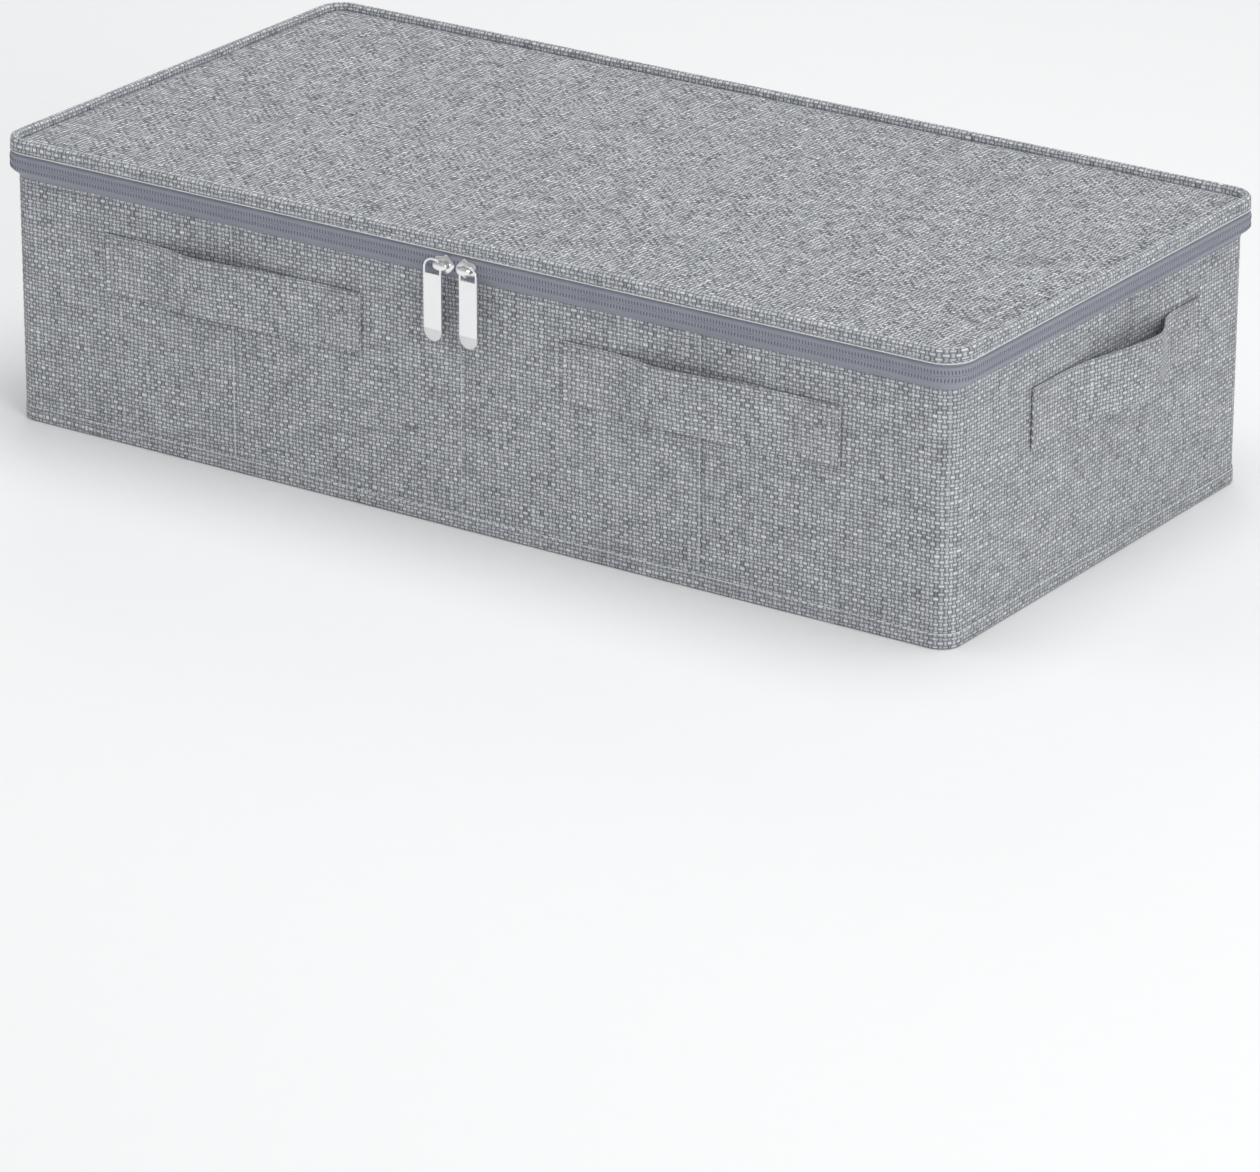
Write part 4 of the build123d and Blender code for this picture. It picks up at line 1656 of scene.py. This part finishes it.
# --- handles
@dataclass
class Handle(Part):
    """A strap sewn flat at both ends, with a box and a cross of stitches at each.

    Attributes:
        node: The frame's name for it.
        side: The wall that it is on.
        crest: How far along its free run the bow peaks, from 0 to 1.
        bow: How far its back stands off the wall at the lower and the upper edge.
        patch: The length that is sewn down at each end.
        thickness: The strap's thickness.
    """

    node: str
    side: Side
    crest: float
    bow: tuple[float, float]
    patch: float = 28.0 * MM
    thickness: float = 1.4 * MM

    def __post_init__(self) -> None:
        """Reads its place from the frame."""
        low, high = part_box(self.node)
        self.middle = (low + high) / 2
        span = high - low
        self.half = (abs(span.dot(self.side.along)) / 2, span.z / 2)

    def _bow(self, u: float, w: float) -> float:
        """How far the strap's back stands off the wall.

        Args:
            u: How far along the strap, from its middle.
            w: How far up it, from its middle.

        Returns:
            The distance from the wall's face.
        """
        free = self.half[0] - self.patch
        if abs(u) >= free:
            return 0.0
        peak = -free + 2 * free * self.crest
        share = (u + free) / (peak + free) if u < peak else (free - u) / (free - peak)
        rise = share * share * (3 - 2 * share)
        low, high = self.bow
        return rise * (low + (high - low) * (w / self.half[1] + 1) / 2)

    def _frame(self) -> Matrix:
        """Its own axes: X along the wall, Y up, Z out of the wall's face."""
        foot = self.middle + self.side.out * (self.sizes.reach(self.side) - self.middle.dot(self.side.out))
        return Matrix.Translation(foot) @ Matrix((self.side.along, UP, self.side.out)).transposed().to_4x4()

    def build(self) -> None:
        """Builds the strap and its stitches."""
        bm = bmesh.new()
        bmesh.ops.create_grid(bm, x_segments=96, y_segments=14, size=1.0)
        bmesh.ops.scale(bm, vec=(*self.half, 1.0), verts=bm.verts[:])
        raised = bmesh.ops.extrude_face_region(bm, geom=bm.faces[:])["geom"]
        tops = [g for g in raised if isinstance(g, bmesh.types.BMVert)]
        bmesh.ops.translate(bm, vec=(0, 0, self.thickness), verts=tops)
        face_out(bm)
        uv = bm.loops.layers.uv.new("cloth")
        rims = [e for e in bm.edges if e.calc_face_angle(0.0) > 1.0]
        round_edges(bm, rims, 0.5 * MM)
        for face in bm.faces:
            for loop in face.loops:
                loop[uv].uv = (loop.vert.co.x + 2.0, loop.vert.co.y + loop.vert.co.z + 0.5)
        for vert in bm.verts:
            vert.co.z += self._dress(vert.co.x, vert.co.y, vert.co.z)
        bmesh.ops.transform(bm, matrix=self._frame(), verts=bm.verts[:])
        face_out(bm)
        piece = new_piece(bm, f"{self.node}_strap", self.finishes.cloth, 60.0)
        place_piece(piece, "box", [self.node])
        self._stitches()

    def _dress(self, u: float, w: float, height: float) -> float:
        """The bow, the sewn-down folds along both edges and a little unevenness.

        Args:
            u: How far along the strap, from its middle.
            w: How far up it, from its middle.
            height: How far the point is from the strap's flat back.

        Returns:
            How far the point moves out.
        """
        bow = self._bow(u, w)
        edge = min(self.half[0] - abs(u), self.half[1] - abs(w))
        bow += 1.0 * MM * bell(edge, 1.6 * MM) * (1.0 if bow < 2 * MM else 0.3)
        if height < self.thickness / 2:
            return bow + 0.05 * MM
        fold = self.half[1] - abs(w) - 3.2 * MM
        seam = 0.38 * MM * bell(fold, 0.9 * MM)
        place = Vector((u, w, self.middle.x + self.middle.y))
        return bow + ripple(place, 22 * MM, 0.22 * MM) - seam

    def _stitches(self) -> None:
        """The box and the cross at each end."""
        work = ThreadWork(self.outline)
        frame = self._frame()
        stitch = Stitch(3.0, (1.25, 0.36, 0.26))
        inset, top = 3.2 * MM, self.half[1] - 3.6 * MM
        for sign in (-1, 1):
            near, far = sign * (self.half[0] - self.patch + inset), sign * (self.half[0] - inset)
            spots = [(near, -top), (far, -top), (far, top), (near, top)]
            legs = list(zip(spots, spots[1:] + spots[:1])) + [(spots[0], spots[2]), (spots[1], spots[3])]
            for start, end in legs:
                ends = [frame @ Vector((*spot, self.thickness + 0.06 * MM)) for spot in (start, end)]
                work.line(ends[0], ends[1], self.side.out, stitch)
        piece = work.piece(f"{self.node}_stitches", self.finishes.warm_thread)
        place_piece(piece, "box")


# --- base and hinge
@dataclass
class LooseBase(Part):
    """The cloth sleeve round the loose base board, open at both ends.

    Attributes:
        sheet: The cloth's thickness.
    """

    sheet: float = 0.5 * MM

    def build(self) -> None:
        """Builds the sleeve."""
        low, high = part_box("base_sleeve")
        half = ((high.x - low.x) / 2, (high.y - low.y) / 2)

        def rise(x: float, y: float) -> float:
            """Soft unevenness of the upper sheet."""
            edge = min(half[0] - abs(x), half[1] - abs(y))
            return min(1.0, edge / (20 * MM)) * ripple(Vector((x, y, 4.0)), 50 * MM, 0.35 * MM)

        bm = Slab(half, 6 * MM, low.z, high.z, 9 * MM, lift=rise).build()
        inside = half[0] - 7 * MM
        ends = [f for f in bm.faces if abs(f.normal.x) > 0.3 and abs(f.calc_center_median().x) > inside]
        bmesh.ops.delete(bm, geom=ends, context="FACES")
        bmesh.ops.solidify(bm, geom=bm.faces[:], thickness=self.sheet * 0.9)
        piece = new_piece(bm, "base_sleeve_cloth", self.finishes.lining)
        place_piece(piece, "loose_base", ["base_sleeve"])


@dataclass
class HingeCloth(Part):
    """The cloth strip along the back that bends as the lid opens."""

    def build(self) -> None:
        """Builds the strip between the box and the lid."""
        s = self.sizes
        low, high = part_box("hinge_strip")
        crest = high.y - s.half_depth
        foot, rise = s.wall_top, s.skirt_foot - s.wall_top
        spots = [(0.05 * MM, foot - 3.0 * MM), (0.05 * MM, foot - 0.4 * MM)]
        full = crest - 0.8 * MM
        for k in range(1, 12):
            share = k / 12
            out = full - full * (1 - math.sin(math.pi * min(share * 1.15, 1.0) / 2)) ** 1.4
            spots.append((max(out - 1.2 * MM * max(0.0, share - 0.6), 0.05 * MM), foot + rise * share))
        spots.append((s.overhang - 1.9 * MM, s.skirt_foot + 0.8 * MM))
        bm = bmesh.new()
        row = [bm.verts.new((low.x, s.half_depth + out, z)) for out, z in spots]
        edges = [bm.edges.new(pair) for pair in zip(row, row[1:])]
        step = Vector(((high.x - low.x) / 72, 0, 0))
        bmesh.ops.spin(bm, geom=edges + row, cent=(0, 0, 0), axis=UP, dvec=step, angle=0.0, steps=72)
        bmesh.ops.remove_doubles(bm, verts=bm.verts[:], dist=1e-6)
        for vert in bm.verts:
            free = max(0.0, math.sin(math.pi * (vert.co.z - foot) / rise)) if vert.co.z > foot else 0.0
            vert.co.y += free * ripple(vert.co, 25 * MM, 0.3 * MM)
        face_out(bm)
        if sum(face.normal.y for face in bm.faces) < 0:
            bmesh.ops.reverse_faces(bm, faces=bm.faces[:])
        uv = bm.loops.layers.uv.new("cloth")
        for face in bm.faces:
            for loop in face.loops:
                loop[uv].uv = (loop.vert.co.x + 1.0, loop.vert.co.z)
        bmesh.ops.solidify(bm, geom=bm.faces[:], thickness=0.7 * MM)
        piece = new_piece(bm, "hinge_cloth", self.finishes.cloth, 60.0)
        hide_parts("hinge_strip")
        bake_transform(piece)
        log.info("%s: %d faces between box and lid", piece.name, len(piece.data.polygons))


# --- studio
@dataclass
class Studio:
    """The floor, the lights and the camera.

    Attributes:
        finishes: The materials.
        lens: The camera's focal length in millimetres.
        stand: Where the camera stands.
    """

    finishes: Finishes
    lens: float = 195.96
    stand: tuple[float, float, float] = (1.961167, -2.893082, 1.326209)

    def build(self) -> None:
        """Builds the studio."""
        self._floor()
        self._lights()
        self._camera()

    def _floor(self) -> None:
        """A wide sheet of paper just under the box."""
        bm = bmesh.new()
        bmesh.ops.create_grid(bm, x_segments=8, y_segments=8, size=6.0)
        bmesh.ops.translate(bm, vec=(0, 0, -0.05 * MM), verts=bm.verts[:])
        new_piece(bm, "studio_floor", self.finishes.paper)

    def _lamp(self, name: str, power: float, size: float, place: tuple[float, float, float]) -> None:
        """A round soft lamp aimed at the box.

        Args:
            name: Its name.
            power: Its power in watts.
            size: Its width.
            place: Where it hangs.
        """
        data = bpy.data.lights.new(name, "AREA")
        data.shape, data.energy, data.size = "DISK", power, size
        lamp = bpy.data.objects.new(name, data)
        lamp.location = place
        lamp.rotation_euler = (Vector((0, 0, 0.08)) - Vector(place)).to_track_quat("-Z", "Y").to_euler()
        bpy.context.scene.collection.objects.link(lamp)

    def _lights(self) -> None:
        """A bright, even room and four soft lamps."""
        world = bpy.data.worlds.new("studio_room")
        world.use_nodes = True
        back = world.node_tree.nodes["Background"]
        back.inputs[0].default_value = (0.96, 0.98, 1.0, 1.0)
        back.inputs[1].default_value = 0.38
        bpy.context.scene.world = world
        self._lamp("top_soft_lamp", 40.0, 2.2, (0.4, 0.15, 2.6))
        self._lamp("right_soft_lamp", 27.0, 1.2, (2.50, -1.50, 1.15))
        self._lamp("left_soft_lamp", 6.0, 1.6, (-1.4, -1.0, 1.9))
        self._lamp("back_soft_lamp", 12.0, 1.6, (-1.6, 2.2, 1.2))
        bpy.context.scene.view_settings.view_transform = "Standard"

    def _camera(self) -> None:
        """The camera, level with the box's front right corner and above it."""
        data = bpy.data.cameras.new("front_right_camera")
        data.lens, data.sensor_width = self.lens, 36.0
        data.clip_start, data.clip_end = 0.05, 50.0
        camera = bpy.data.objects.new("front_right_camera", data)
        right = Vector((0.8277877, 0.56103406, 0.00288172))
        back = Vector((0.51951943, -0.76845319, 0.37360306))
        turn = Matrix((right, back.cross(right), back)).transposed().to_4x4()
        camera.matrix_world = Matrix.Translation(self.stand) @ turn
        bpy.context.scene.collection.objects.link(camera)
        bpy.context.scene.camera = camera


def dress_boards(frame: dict, finishes: Finishes) -> None:
    """Gives the boards that stay as they are their finish.

    Args:
        frame: The loaded frame.
        finishes: The materials.
    """
    for name, node in frame["nodes"].items():
        if "board" in name:
            node.data.materials.clear()
            node.data.materials.append(finishes.board)
            log.info("%s: board finish", name)


def main() -> None:
    """Builds the box round the frame, then the studio."""
    logging.basicConfig(level=logging.INFO, format="%(name)s %(message)s")
    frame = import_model()
    sizes, finishes = Sizes.from_frame(), Finishes()
    outline = Outline(sizes)
    dress_boards(frame, finishes)
    kit = (sizes, outline, finishes)
    Walls(*kit).build()
    Lid(*kit).build()
    Zip(*kit).build()
    for hand in Hand:
        Slider(*kit, hand).build()
        Pull(*kit, hand).build()
    front = (4.6 * MM, 6.4 * MM)
    end = (11.4 * MM, 12.9 * MM)
    for node, side, crest, bow in (
        ("front_left_handle", Side.FRONT, 0.31, front),
        ("front_right_handle", Side.FRONT, 0.31, front),
        ("right_handle", Side.RIGHT, 0.69, end),
        ("left_handle", Side.LEFT, 0.31, end),
    ):
        Handle(*kit, node, side, crest, bow).build()
    LooseBase(*kit).build()
    HingeCloth(*kit).build()
    Studio(finishes).build()


if __name__ == "__main__":
    main()
